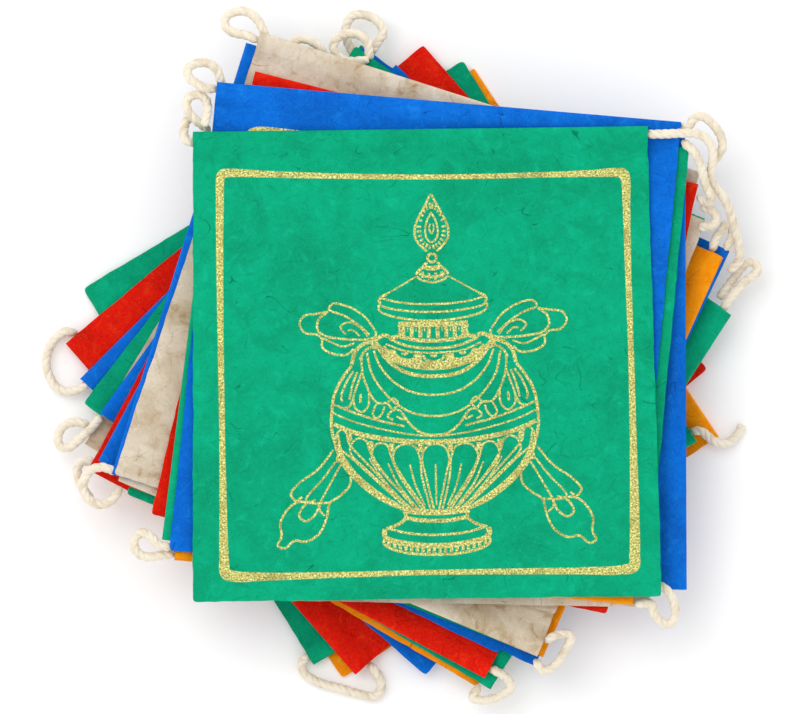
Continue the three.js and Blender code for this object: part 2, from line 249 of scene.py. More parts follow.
class PaperFibres(EffectGroup):
    """Handmade paper: clouded dye, a web of fibres, crossing streaks, dark hairs, specks and wide brown
    patches, partly real staining and partly painted shade.
    """

    name = "paper_fibres"
    inputs = (
        ("Vector", "NodeSocketVector"),
        ("Dye", "NodeSocketColor"),
        ("Pale", "NodeSocketColor"),
        ("Deep", "NodeSocketColor"),
        ("Hair", "NodeSocketColor"),
        ("Stain And Shade", "NodeSocketColor"),
        ("Clouds", "NodeSocketFloat"),
        ("Stains And Shade", "NodeSocketFloat"),
    )
    outputs = (
        ("Color", "NodeSocketColor"),
        ("Roughness", "NodeSocketFloat"),
        ("Height", "NodeSocketFloat"),
    )
    streak_angles = (0.35, 1.3, 2.2, 2.9)
    streak_size = (9.5, 1.25, 1.0)

    def build(self, shader: Shader, source: bpy.types.NodeOutputs) -> tuple:
        """Make the group's nodes.

        Args:
            shader: The tree to build in.
            source: The group's inputs.

        Returns:
            The sockets that feed the group's outputs, in order.
        """
        place = source["Vector"]
        blotch = shader.noise(place, 0.16, detail=4.0, roughness=0.6, distortion=0.8)
        grain = shader.noise(place, 1.5, detail=3.0, roughness=0.7)
        web = shader.ridge(shader.noise(place, 0.22, detail=5.0, roughness=0.66, distortion=2.2), 0.055)
        fine = shader.ridge(shader.noise(place, 0.7, detail=3.0, roughness=0.6, distortion=2.6), 0.1)
        hair = self.hairs(shader, place)
        dark, light = self.streaks(shader, place)
        speck = shader.fit(shader.noise(place, 0.55, detail=1.0, roughness=0.4), 0.73, 0.79)
        worn = shader.fit(shader.noise(place, 0.42, detail=2.0), 0.68, 0.78)

        colour = self.clouded(shader, source, blotch)
        web_pale = shader.math("MULTIPLY", web, shader.math("MULTIPLY", grain, 0.62))
        colour = shader.mix(web_pale, colour, source["Pale"])
        for mask, strength, tint in (
            (fine, 0.2, "Pale"), (dark, 0.5, "Deep"), (light, 0.4, "Pale"), (worn, 0.35, "Pale"),
        ):
            colour = shader.mix(shader.math("MULTIPLY", mask, strength), colour, source[tint])
        # Wide brown patches: partly real staining, partly painted shade.
        colour = self.stained(shader, source, blotch, colour)
        colour = shader.mix(shader.math("MULTIPLY", speck, 0.5), colour, source["Hair"])
        colour = shader.mix(shader.math("MULTIPLY", hair, 0.75), colour, source["Hair"])

        rough = shader.fit(grain, 0.3, 0.7, 0.74, 0.92)
        height = shader.math("MULTIPLY_ADD", grain, 0.5, shader.math("MULTIPLY", web, 0.55))
        for bump, strength in ((fine, 0.3), (blotch, 1.2), (hair, 1.0), (light, 0.5)):
            height = shader.math("MULTIPLY_ADD", bump, strength, height)
        return colour, rough, height

    def clouded(self, shader: Shader, source: bpy.types.NodeOutputs,
                blotch: bpy.types.NodeSocket) -> bpy.types.NodeSocket:
        """Cloud the dye, as where it soaked in unevenly.

        Args:
            shader: The tree to build in.
            source: The group's inputs.
            blotch: The noise of the small blotches.

        Returns:
            The dye's colour.
        """
        cloud = shader.noise(source["Vector"], 0.035, detail=4.0, roughness=0.62, distortion=0.6)
        cloud_dark = shader.math("MULTIPLY", shader.fit(cloud, 0.4, 0.68), source["Clouds"])
        blotch_dark = shader.math("MULTIPLY", shader.fit(blotch, 0.48, 0.78), source["Clouds"])
        blotch_pale = shader.math("MULTIPLY", shader.fit(blotch, 0.46, 0.24), source["Clouds"])
        colour = shader.mix(cloud_dark, source["Dye"], source["Deep"])
        colour = shader.mix(shader.math("MULTIPLY", blotch_dark, 0.8), colour, source["Deep"])
        return shader.mix(blotch_pale, colour, source["Pale"])

    def stained(self, shader: Shader, source: bpy.types.NodeOutputs, blotch: bpy.types.NodeSocket,
                colour: bpy.types.NodeSocket) -> bpy.types.NodeSocket:
        """Darken the paper in wide brown patches, deeper in their blotches: partly real staining, partly
        painted shade.

        Args:
            shader: The tree to build in.
            source: The group's inputs.
            blotch: The noise of the small blotches.
            colour: The paper's colour before.

        Returns:
            The colour with its brown patches of staining and painted shade.
        """
        # Brown patches, partly real staining and partly painted shade.
        patch = shader.noise(source["Vector"], 0.016, detail=5.0, roughness=0.66, distortion=1.0)
        stain = shader.math("MULTIPLY", shader.fit(patch, 0.44, 0.68), source["Stains And Shade"])
        brown = shader.math("MULTIPLY", shader.fit(blotch, 0.5, 0.7), stain)
        colour = shader.mix(shader.math("MULTIPLY", stain, 0.55), colour, source["Stain And Shade"])
        return shader.mix(brown, colour, source["Stain And Shade"])

    def hairs(self, shader: Shader, place: bpy.types.NodeSocket) -> bpy.types.NodeSocket:
        """Scatter long thin dark hairs and some short ones.

        Args:
            shader: The tree to build in.
            place: The sheet's coordinates, in millimetres.

        Returns:
            The hairs' mask.
        """
        strand = shader.ridge(shader.noise(place, 0.021, detail=1.2, roughness=0.4, distortion=1.6), 0.0035)
        where = shader.fit(shader.noise(place, 0.085, detail=0.0), 0.56, 0.62)
        short = shader.ridge(shader.noise(place, 0.034, detail=1.0, roughness=0.4, distortion=2.0), 0.005)
        there = shader.fit(shader.noise(place, 0.14, detail=0.0), 0.62, 0.68)
        long_hair = shader.math("MULTIPLY", strand, where)
        return shader.math("MAXIMUM", long_hair, shader.math("MULTIPLY", short, there))

    def streaks(self, shader: Shader, place: bpy.types.NodeSocket) -> tuple:
        """Lay long fibres that cross each other at several angles.

        Args:
            shader: The tree to build in.
            place: The sheet's coordinates, in millimetres.

        Returns:
            The masks of the dark and of the light fibres.
        """
        masks = []
        for number, angle in enumerate(self.streak_angles):
            turned = shader.add("ShaderNodeMapping", {
                "Vector": place, "Rotation": (0.0, 0.0, angle), "Scale": self.streak_size,
                "Location": (90.0 * number, 35.0 * number, 0.0),
            }, vector_type="TEXTURE")
            fibre = shader.noise(turned.outputs[0], 1.0, detail=2.0, roughness=0.55, distortion=1.1)
            masks.append((shader.fit(fibre, 0.4, 0.24), shader.fit(fibre, 0.62, 0.78)))
        dark, light = masks[0]
        for more_dark, more_light in masks[1:]:
            dark = shader.math("MAXIMUM", dark, more_dark)
            light = shader.math("MAXIMUM", light, more_light)
        return dark, light


class CottonLay(EffectGroup):
    """Soft cotton fibres that run along a ply, a little uneven in colour."""

    name = "cotton_lay"
    inputs = (("Vector", "NodeSocketVector"), ("Light", "NodeSocketColor"), ("Shade", "NodeSocketColor"))
    outputs = (("Color", "NodeSocketColor"), ("Height", "NodeSocketFloat"))

    def build(self, shader: Shader, source: bpy.types.NodeOutputs) -> tuple:
        """Make the group's nodes.

        Args:
            shader: The tree to build in.
            source: The group's inputs.

        Returns:
            The sockets that feed the group's outputs, in order.
        """
        along = shader.add("ShaderNodeMapping", {"Vector": source["Vector"], "Scale": (7.0, 0.35, 1.0)})
        fibre = shader.noise(along.outputs[0], 1.0, detail=4.0, roughness=0.7, distortion=0.8)
        patch = shader.noise(source["Vector"], 0.12, detail=3.0, roughness=0.6)
        colour = shader.mix(shader.fit(patch, 0.42, 0.72), source["Light"], source["Shade"])
        colour = shader.mix(shader.fit(fibre, 0.55, 0.8, 0.0, 0.5), colour, source["Shade"])
        return colour, fibre


class GoldSpeckle(EffectGroup):
    """Printed gold that sits on the paper's grain in pale and dull grains, with bare places. The pale grains
    are painted glints of the ink's metal.
    """

    name = "gold_speckle"
    inputs = (
        ("Vector", "NodeSocketVector"),
        ("Gold", "NodeSocketColor"),
        ("Bright", "NodeSocketColor"),
        ("Dull", "NodeSocketColor"),
        ("Paper", "NodeSocketColor"),
    )
    outputs = (
        ("Color", "NodeSocketColor"),
        ("Metal", "NodeSocketFloat"),
        ("Roughness", "NodeSocketFloat"),
        ("Height", "NodeSocketFloat"),
    )

    def build(self, shader: Shader, source: bpy.types.NodeOutputs) -> tuple:
        """Make the group's nodes.

        Args:
            shader: The tree to build in.
            source: The group's inputs.

        Returns:
            The sockets that feed the group's outputs, in order.
        """
        place = source["Vector"]
        grain = shader.noise(place, 0.95, detail=2.0, roughness=0.8)
        glint = shader.noise(place, 1.3, detail=1.0, roughness=0.7)
        patch = shader.noise(place, 0.11, detail=2.0)
        # Pale grains: painted glints, the sparkle of the ink's metal painted into its colour.
        colour = shader.mix(shader.fit(grain, 0.48, 0.6), source["Gold"], source["Bright"])
        colour = shader.mix(shader.fit(glint, 0.52, 0.64, 0.0, 0.85), colour, source["Dull"])
        colour = shader.mix(shader.fit(patch, 0.5, 0.7, 0.0, 0.4), colour, source["Dull"])
        bare = shader.fit(grain, 0.45, 0.34)
        colour = shader.mix(shader.math("MULTIPLY", bare, 0.8), colour, source["Paper"])
        metal = shader.fit(bare, 0.0, 1.0, 0.25, 0.0)
        rough = shader.fit(glint, 0.3, 0.7, 0.42, 0.68)
        return colour, metal, rough, grain


@dataclass(frozen=True)
class Finish:
    """The base of a surface finish: its record slot and the material that shows it."""

    slot: str

    def start(self, name: str) -> tuple[bpy.types.Material, Shader, bpy.types.Node, bpy.types.NodeSocket]:
        """Make an empty material with its shader and the sheet's own coordinates in millimetres.

        Args:
            name: The material's name.

        Returns:
            The material, its node builder, its principled shader and the coordinates.
        """
        material = bpy.data.materials.new(name)
        material.use_nodes = True
        shader = Shader(material.node_tree)
        surface = material.node_tree.nodes["Principled BSDF"]
        sheet = shader.add("ShaderNodeUVMap", uv_map=SHEET_MAP).outputs[0]
        scale = shader.add("ShaderNodeVectorMath", {0: sheet, 3: 1 / MM}, operation="SCALE").outputs[0]
        return material, shader, surface, scale

    def place(self, shader: Shader, effect: EffectGroup, inputs: dict) -> bpy.types.NodeOutputs:
        """Place an effect group in the material and feed it.

        Args:
            shader: The material's node builder.
            effect: The group.
            inputs: Input name to a number, a colour or the socket that feeds it.

        Returns:
            The group's outputs.
        """
        node = shader.add("ShaderNodeGroup", node_tree=effect.tree())
        for key, value in inputs.items():
            if isinstance(value, bpy.types.NodeSocket):
                shader.tree.links.new(value, node.inputs[key])
            else:
                node.inputs[key].default_value = (*value, 1.0) if isinstance(value, tuple) else value
        return node.outputs

    def relief(self, shader: Shader, surface: bpy.types.Node, height: bpy.types.NodeSocket,
               depth: float, strength: float) -> None:
        """Raise a height on the surface's normal.

        Args:
            shader: The material's node builder.
            surface: The principled shader.
            height: The height, about 0 to 1.
            depth: How far 1 stands up, in metres.
            strength: How much of that shows.
        """
        bump = shader.add("ShaderNodeBump", {"Height": height, "Distance": depth, "Strength": strength})
        shader.tree.links.new(bump.outputs[0], surface.inputs["Normal"])


@dataclass(frozen=True)
class PaperFinish(Finish):
    """One dye of the handmade paper."""

    name: str
    dye: Colour
    pale: Colour
    deep: Colour
    hair: Colour
    # The colour of the brown patches, partly real staining and partly painted shade.
    stain: Colour
    clouds: float
    # How strong the brown patches are: partly real staining, partly painted shade.
    stains: float = 0.0

    def material(self) -> bpy.types.Material:
        """Give the paper's material, built at its first use.

        Returns:
            The material.
        """
        made = bpy.data.materials.get(self.name)
        if made:
            return made
        material, shader, surface, place = self.start(self.name)
        outputs = self.place(shader, PaperFibres(), {
            "Vector": place, "Dye": self.dye, "Pale": self.pale, "Deep": self.deep, "Hair": self.hair,
            "Stain And Shade": self.stain, "Clouds": self.clouds, "Stains And Shade": self.stains,
        })
        links = shader.tree.links
        links.new(outputs["Color"], surface.inputs["Base Color"])
        links.new(outputs["Roughness"], surface.inputs["Roughness"])
        surface.inputs["Specular IOR Level"].default_value = 0.09
        self.relief(shader, surface, outputs["Height"], 0.16 * MM, 0.6)
        return material


@dataclass(frozen=True)
class CottonFinish(Finish):
    """Undyed twisted cotton."""

    name: str
    light: Colour
    shade: Colour

    def material(self) -> bpy.types.Material:
        """Give the cord's material, built at its first use.

        Returns:
            The material.
        """
        made = bpy.data.materials.get(self.name)
        if made:
            return made
        material, shader, surface, place = self.start(self.name)
        outputs = self.place(shader, CottonLay(), {"Vector": place, "Light": self.light, "Shade": self.shade})
        shader.tree.links.new(outputs["Color"], surface.inputs["Base Color"])
        surface.inputs["Roughness"].default_value = 0.92
        surface.inputs["Specular IOR Level"].default_value = 0.2
        surface.inputs["Sheen Weight"].default_value = 0.25
        self.relief(shader, surface, outputs["Height"], 0.22 * MM, 0.6)
        return material


@dataclass(frozen=True)
class GoldFinish(Finish):
    """Gold ink on one dye of the paper."""

    paper: PaperFinish
    gold: Colour
    # The colour of the painted glints in the ink's grains.
    bright: Colour
    dull: Colour

    def material(self) -> bpy.types.Material:
        """Give the ink's material, built at its first use.

        Returns:
            The material.
        """
        name = f"gold_ink_on_{self.paper.name}"
        made = bpy.data.materials.get(name)
        if made:
            return made
        material, shader, surface, place = self.start(name)
        outputs = self.place(shader, GoldSpeckle(), {
            "Vector": place, "Gold": self.gold, "Bright": self.bright, "Dull": self.dull,
            "Paper": self.paper.deep,
        })
        links = shader.tree.links
        links.new(outputs["Color"], surface.inputs["Base Color"])
        links.new(outputs["Metal"], surface.inputs["Metallic"])
        links.new(outputs["Roughness"], surface.inputs["Roughness"])
        self.relief(shader, surface, outputs["Height"], 0.06 * MM, 0.35)
        return material


class Dye(Enum):
    """The paper's dyes, by the word that ends a flag's node name."""

    GREEN = PaperFinish(
        "paper_green", "green_paper", dye=linear(0, 165, 119), pale=linear(14, 186, 142),
        deep=linear(0, 134, 92), hair=linear(2, 92, 66), stain=linear(10, 110, 70), clouds=0.7,
    )
    BLUE = PaperFinish(
        "paper_blue", "blue_paper", dye=linear(0, 104, 212), pale=linear(28, 134, 232),
        deep=linear(0, 78, 176), hair=linear(4, 50, 120), stain=linear(4, 60, 130), clouds=0.62,
    )
    RED = PaperFinish(
        "paper_red", "red_paper", dye=linear(232, 8, 2), pale=linear(250, 66, 26),
        deep=linear(190, 2, 2), hair=linear(120, 4, 6), stain=linear(150, 10, 8), clouds=0.6,
    )
    ORANGE = PaperFinish(
        "paper_orange", "orange_paper", dye=linear(252, 148, 0), pale=linear(255, 182, 40),
        deep=linear(232, 118, 0), hair=linear(160, 80, 6), stain=linear(190, 96, 8), clouds=0.62,
    )
    # The cream's brown patches are partly real staining and partly painted shade.
    CREAM = PaperFinish(
        "paper_cream", "cream_paper", dye=linear(224, 211, 191), pale=linear(240, 231, 215),
        deep=linear(198, 179, 150), hair=linear(132, 108, 80), stain=linear(172, 142, 98), clouds=0.66,
        stains=1.0,
    )


COTTON = CottonFinish("cotton_cord", "undyed_cotton", light=linear(240, 230, 210), shade=linear(217, 202, 176))


# Meshes


class MeshMaker:
    """Collects points, faces and sheet coordinates, and turns them into one object."""

    def __init__(self) -> None:
        """Start with nothing."""
        self.points: list[Sequence[float]] = []
        self.sheet: list[tuple[float, float]] = []
        self.faces: list[tuple[int, ...]] = []

    def add_points(self, points: Iterable[Sequence[float]], sheet: Iterable[tuple[float, float]]) -> int:
        """Add points with their sheet coordinates.

        Args:
            points: The places, in metres.
            sheet: The place on the flat material for each, in metres.

        Returns:
            The number of the first of them.
        """
        first = len(self.points)
        self.points.extend(points)
        self.sheet.extend(sheet)
        return first

    def add_band(self, first: Sequence[int], second: Sequence[int], closed: bool = False) -> None:
        """Join two rows of point numbers with four-sided faces.

        Args:
            first: The first row.
            second: The second row, of the same length.
            closed: Also join the rows' ends.
        """
        count = len(first)
        for i in range(count if closed else count - 1):
            j = (i + 1) % count
            self.faces.append((first[i], first[j], second[j], second[i]))

    def build(self, name: str, material: bpy.types.Material, crease: float = 50.0) -> bpy.types.Object:
        """Make the object and put it on the frame's body.

        Args:
            name: The piece's name.
            material: Its finish.
            crease: Edges that turn by more than this many degrees stay sharp.

        Returns:
            The object.
        """
        mesh = bpy.data.meshes.new(name)
        mesh.from_pydata([tuple(p) for p in self.points], [], self.faces)
        layer = mesh.uv_layers.new(name=SHEET_MAP)
        corner_points = np.empty(len(mesh.loops), dtype=np.int32)
        mesh.loops.foreach_get("vertex_index", corner_points)
        layer.data.foreach_set("uv", np.asarray(self.sheet, dtype=np.float32)[corner_points].ravel())
        mesh.materials.append(material)
        mesh.shade_smooth()
        mesh.set_sharp_from_angle(angle=math.radians(crease))
        mesh.update()
        piece = bpy.data.objects.new(name, mesh)
        bpy.context.scene.collection.objects.link(piece)
        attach(piece, "root")
        return piece


def node_tree_of(nodes: Iterable[bpy.types.Object]) -> BVHTree:
    """Put the faces of some of the frame's solids into one tree for ray casting.

    Args:
        nodes: The solids' objects.

    Returns:
        The tree.
    """
    points: list[Vector] = []
    faces: list[tuple[int, ...]] = []
    for node in nodes:
        first = len(points)
        points.extend(vertex.co.copy() for vertex in node.data.vertices)
        faces.extend(tuple(first + i for i in face.vertices) for face in node.data.polygons)
    return BVHTree.FromPolygons(points, faces)


# Flags


@dataclass(frozen=True)
class SheetSizes:
    """Sizes of one folded sheet of paper."""

    paper: float = 0.38 * MM
    rest: float = 0.45 * MM
    hem_rise: float = 1.9 * MM
    deckle: float = 0.34 * MM
    deckle_fade: float = 2.6 * MM
    corner: float = 1.6 * MM
    mouth_reach: float = 26.0 * MM
    loose_lift: float = 1.5 * MM
    loose_reach: float = 14.0 * MM
    free_room: float = 1.2 * MM
    ripple: float = 0.16 * MM
    cell: float = 4.0 * MM


# The hem's section in millimetres: depth from the fold and share of the hem's rise, from the flap's edge
# under the sheet round the fold and back over the cord
HEM_ROWS = (
    (11.2, 0.0), (9.6, 0.0), (7.4, 0.0), (5.0, 0.0), (2.8, 0.0), (1.3, 0.0), (0.5, 0.06), (0.12, 0.2),
    (0.0, 0.42), (0.1, 0.64), (0.45, 0.83), (1.2, 0.95), (2.4, 1.0), (4.0, 1.0), (5.6, 0.97),
    (7.2, 0.87), (8.6, 0.7), (9.8, 0.5), (11.0, 0.31), (12.2, 0.15), (13.6, 0.05), (15.2, 0.0),
)
EDGE_STEPS = (0.0, 0.45, 1.2, 2.4, 4.2, 6.6)  # in millimetres from an edge


class FlagSolid:
    """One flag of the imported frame, read back as its corners, its hem side and its heights."""

    INSET = 2.5 * MM
    HEM_PROBE = 5 * MM
    MIDDLE_HEIGHT = 0.02

    def __init__(self, node: bpy.types.Object) -> None:
        """Read a flag's solid.

        Args:
            node: The solid's object.
        """
        self.name = node.name
        self.tree = node_tree_of([node])
        plan = np.array([vertex.co[:] for vertex in node.data.vertices])
        self.middle = plan[:, :2].mean(axis=0)
        self.corners = self.turned_to_hem(self.find_corners(plan[:, :2]))
        start, end, far_end, far_start = self.corners
        self.wide = float(np.linalg.norm(end - start) + np.linalg.norm(far_end - far_start)) / 2
        self.tall = float(np.linalg.norm(far_start - start) + np.linalg.norm(far_end - end)) / 2

    @staticmethod
    def find_corners(plan: np.ndarray) -> list[np.ndarray]:
        """Find a four-sided sheet's corners, in turn round it.

        Args:
            plan: The solid's points seen from above.

        Returns:
            The corners.
        """
        away = np.linalg.norm(plan - plan.mean(axis=0), axis=1)
        first = plan[away.argmax()]
        third = plan[np.linalg.norm(plan - first, axis=1).argmax()]
        line = third - first
        side = (plan - first) @ np.array((-line[1], line[0]))
        second, fourth = plan[side.argmax()], plan[side.argmin()]
        return [first, second, third, fourth]

    def thickness(self, place: np.ndarray) -> float:
        """Give the solid's thickness at a place seen from above."""
        below, above = self.height(place, UP), self.height(place, DOWN)
        return above - below

    def height(self, place: Sequence[float], way: Vector) -> float:
        """Give the height where a vertical ray first meets the solid.

        Args:
            place: Where, seen from above.
            way: UP for the underside and DOWN for the top.

        Returns:
            The height there, or that of the nearest point of the solid.
        """
        start = Vector((place[0], place[1], -1.0 if way is UP else 1.0))
        hit = self.tree.ray_cast(start, way)[0]
        if hit is None:
            inward = Vector((self.middle[0] - place[0], self.middle[1] - place[1], 0.0)).normalized()
            hit = self.tree.ray_cast(start + inward * self.INSET, way)[0]
        if hit is None:
            hit = self.tree.find_nearest(Vector((place[0], place[1], self.MIDDLE_HEIGHT)))[0]
        return hit.z

    def turned_to_hem(self, corners: list[np.ndarray]) -> list[np.ndarray]:
        """Turn the list of corners so that the hem lies between the first two.

        Args:
            corners: The corners, in turn.

        Returns:
            The same corners in another order.
        """
        middle = sum(corners) / 4
        depths = []
        for side in range(4):
            edge = (corners[side] + corners[(side + 1) % 4]) / 2
            inward = (middle - edge) / np.linalg.norm(middle - edge)
            depths.append(self.thickness(edge + inward * self.HEM_PROBE))
        hem = int(np.argmax(depths))
        return corners[hem:] + corners[:hem]

    def place(self, s: float, depth: float) -> np.ndarray:
        """Give a place on the sheet, seen from above.

        Args:
            s: The share of the way along the hem.
            depth: The distance from the hem's fold, in metres.

        Returns:
            The place.
        """
        start, end, far_end, far_start = self.corners
        near = start + (end - start) * s
        far = far_start + (far_end - far_start) * s
        length = float(np.linalg.norm(far - near))
        hem = HEM_ROWS[-1][0] * MM
        if depth > hem:
            depth = hem + (depth - hem) * (length - hem) / (self.tall - hem)
        return near + (far - near) * (depth / length)


class HeightField:
    """Smooth heights over a flag, read from its solid: where the sheet lies and how far it can lift."""

    STEPS = 56
    INSIDE = 1.2 * MM
    INSIDE_SHARE = 0.006
    SKIN = 0.03 * MM
    MOST_ROOM = 6 * MM

    def __init__(self, solid: FlagSolid, others: BVHTree) -> None:
        """Sample a flag's solid.

        Args:
            solid: The flag.
            others: All the frame's solids.
        """
        self.tall = solid.tall
        shape = (self.STEPS + 1, self.STEPS + 1)
        base, room = np.zeros(shape), np.zeros(shape)
        for row in range(shape[0]):
            depth = min(max(row / self.STEPS * self.tall, self.INSIDE), self.tall - self.INSIDE)
            for column in range(shape[1]):
                s = min(max(column / self.STEPS, self.INSIDE_SHARE), 1 - self.INSIDE_SHARE)
                spot = solid.place(s, depth)
                base[row, column] = solid.height(spot, UP)
                top = solid.height(spot, DOWN)
                hit = others.ray_cast(Vector((spot[0], spot[1], top + self.SKIN)), UP)[0]
                room[row, column] = min(hit.z - top, self.MOST_ROOM) if hit else self.MOST_ROOM
        self.base = self.blurred(base, 3)
        self.room = self.blurred(self.shrunk(room, 2), 3)

    @staticmethod
    def blurred(values: np.ndarray, rounds: int) -> np.ndarray:
        """Smooth a grid with its neighbours.

        Args:
            values: The grid.
            rounds: How often.

        Returns:
            The smooth grid.
        """
        for _ in range(rounds):
            wide = np.pad(values, 1, mode="reflect", reflect_type="odd")
            rows = (wide[:-2, 1:-1] + 2 * wide[1:-1, 1:-1] + wide[2:, 1:-1]) / 4
            wide = np.pad(rows, 1, mode="reflect", reflect_type="odd")
            values = (wide[1:-1, :-2] + 2 * wide[1:-1, 1:-1] + wide[1:-1, 2:]) / 4
        return values

    @staticmethod
    def shrunk(values: np.ndarray, rounds: int) -> np.ndarray:
        """Give each place the lowest of its neighbours' values.

        Args:
            values: The grid.
            rounds: How often.

        Returns:
            The lowered grid.
        """
        for _ in range(rounds):
            wide = np.pad(values, 1, mode="edge")
            tall, broad = values.shape
            shifted = [wide[i:i + tall, j:j + broad] for i in range(3) for j in range(3)]
            values = np.minimum.reduce(shifted)
        return values

    def read(self, values: np.ndarray, s: float, depth: float) -> float:
        """Read a grid between its points.

        Args:
            values: The base or the room.
            s: The place along the hem, from 0 to 1.
            depth: The depth from the fold, in metres.

        Returns:
            The height there.
        """
        x = min(max(s, 0.0), 1.0) * self.STEPS
        y = min(max(depth / self.tall, 0.0), 1.0) * self.STEPS
        column, row = min(int(x), self.STEPS - 1), min(int(y), self.STEPS - 1)
        x, y = x - column, y - row
        near = values[row, column] * (1 - x) + values[row, column + 1] * x
        far = values[row + 1, column] * (1 - x) + values[row + 1, column + 1] * x
        return float(near * (1 - y) + far * y)


@dataclass
class Flag:
    """One sheet of handmade paper with a hem folded under along one side, laid over the ones below.

    cockle is how far the paper bends up and down where it lies free, and mouths is how much higher the
    hem stands at its two ends.
    """

    solid: FlagSolid
    heights: HeightField
    number: int
    sizes: SheetSizes = field(default_factory=SheetSizes)
    cockle: float = 0.0
    mouths: tuple[float, float] = (0.0, 0.0)

    SIDE_WAVES: ClassVar[tuple[float, float]] = (0.0055, 0.024)
    FAR_WAVES: ClassVar[tuple[float, float]] = (0.005, 0.022)

    @property
    def name(self) -> str:
        """The piece's name."""
        return f"sheet_{self.number:02d}"

    @property
    def finish(self) -> PaperFinish:
        """The finish that the node's name asks for."""
        return Dye[self.solid.name.rsplit("_", 1)[1].upper()].value

    def stations(self, length: float, both: bool, start: float = 0.0) -> list[float]:
        """Space places along a side, closer together at its edges.

        Args:
            length: The side's length.
            both: Also close together at the start.
            start: Where the even part begins if it isn't close together there.

        Returns:
            The places, in metres.
        """
        edge = [step * MM for step in EDGE_STEPS]
        low = edge[-1] if both else start
        high = length - edge[-1]
        count = max(2, round((high - low) / self.sizes.cell))
        even = [low + (high - low) * i / count for i in range(1, count)]
        first = edge if both else []
        return first + even + [length - step for step in reversed(edge)]

    def rows(self) -> list[tuple[float, float, float]]:
        """List the sheet's rows, from the flap's edge to the far side.

        Returns:
            For each row its depth from the fold, the share of the hem's rise and its place on the flat
            sheet.
        """
        rows, flat, last = [], 0.0, HEM_ROWS[0]
        for depth, rise in HEM_ROWS:
            flat += math.hypot((depth - last[0]) * MM, (rise - last[1]) * self.sizes.hem_rise)
            rows.append((depth * MM, rise, flat))
            last = (depth, rise)
        reach = rows[-1][0]
        for depth in self.stations(self.solid.tall, False, reach):
            rows.append((depth, 0.0, flat + depth - reach))
        return rows

    def edge_shift(self, along: float, depth: float, wide: float) -> np.ndarray:
        """Give how far the handmade edge wanders from a straight one.

        Args:
            along: The place along the hem, in metres.
            depth: The depth from the fold, in metres.
            wide: The sheet's length along the hem.

        Returns:
            The shift along the hem and away from it, in metres.
        """
        sizes = self.sizes
        shift = np.zeros(2)
        fade = sizes.deckle_fade
        for side, gap in ((-1.0, along), (1.0, wide - along)):
            near = max(0.0, 1 - gap / fade)
            if near > 0:
                spot = (depth + side * 0.3, self.number * 0.41)
                wander = wave(spot, self.SIDE_WAVES[0], 1) + 0.9 * wave(spot, self.SIDE_WAVES[1], 2)
                shift[0] += side * near * sizes.deckle * wander
        gap = self.solid.tall - depth
        near = max(0.0, 1 - gap / fade)
        if near > 0:
            spot = (along, self.number * 0.37 + 0.2)
            wander = wave(spot, self.FAR_WAVES[0], 3) + 0.9 * wave(spot, self.FAR_WAVES[1], 4)
            shift[1] += near * sizes.deckle * wander
            for side, side_gap in ((1.0, along), (-1.0, wide - along)):
                bite = 0.3 * sizes.corner
                reach = max(0.0, 1 - gap / sizes.corner) * max(0.0, 1 - side_gap / sizes.corner)
                shift += np.array((side, -1.0)) * bite * reach
        return shift

    def mouth(self, along: float, wide: float) -> float:
        """Give how much higher the hem stands near an end where the cord comes out.

        Args:
            along: The place along the hem, in metres.
            wide: The hem's length.

        Returns:
            The extra height, in metres.
        """
        reach = self.sizes.mouth_reach
        start = self.mouths[0] * max(0.0, 1 - along / reach) ** 1.6
        end = self.mouths[1] * max(0.0, 1 - (wide - along) / reach) ** 1.6
        return start + end

    def surface(self, s: float, depth: float, rise: float) -> np.ndarray:
        """Give a point of the sheet's middle layer.

        Args:
            s: The place along the hem, from 0 to 1.
            depth: The depth from the fold.
            rise: The share of the hem's rise.

        Returns:
            The point.
        """
        solid, sizes = self.solid, self.sizes
        wide = solid.wide
        along = s * wide
        shift = self.edge_shift(along, depth, wide)
        spot = solid.place((along + shift[0]) / wide, depth + shift[1])
        room = max(0.0, self.heights.read(self.heights.room, s, depth))
        base = self.heights.read(self.heights.base, s, depth)
        hem = sizes.hem_rise + min(self.mouth(along, wide), room)
        edge = min(along, wide - along, solid.tall - depth)
        spread = (spot[0], spot[1])
        loose = min(room * 0.4, sizes.loose_lift) * math.exp(-max(edge, 0.0) / sizes.loose_reach)
        lift = loose * max(0.0, 0.5 + 1.1 * wave(spread, 0.032, self.number))
        free = min(room, sizes.free_room) / sizes.free_room
        lift += sizes.ripple * (0.25 + 0.75 * free) * (1 + wave(spread, 0.013, self.number + 40))
        lift += self.cockle * free * (1.0 + wave(spread, 0.048, self.number + 80))
        lift += self.cockle * 0.3 * free * (1.0 + wave(spread, 0.017, self.number + 90))
        return np.array((spot[0], spot[1], base + sizes.rest + rise * hem + lift))

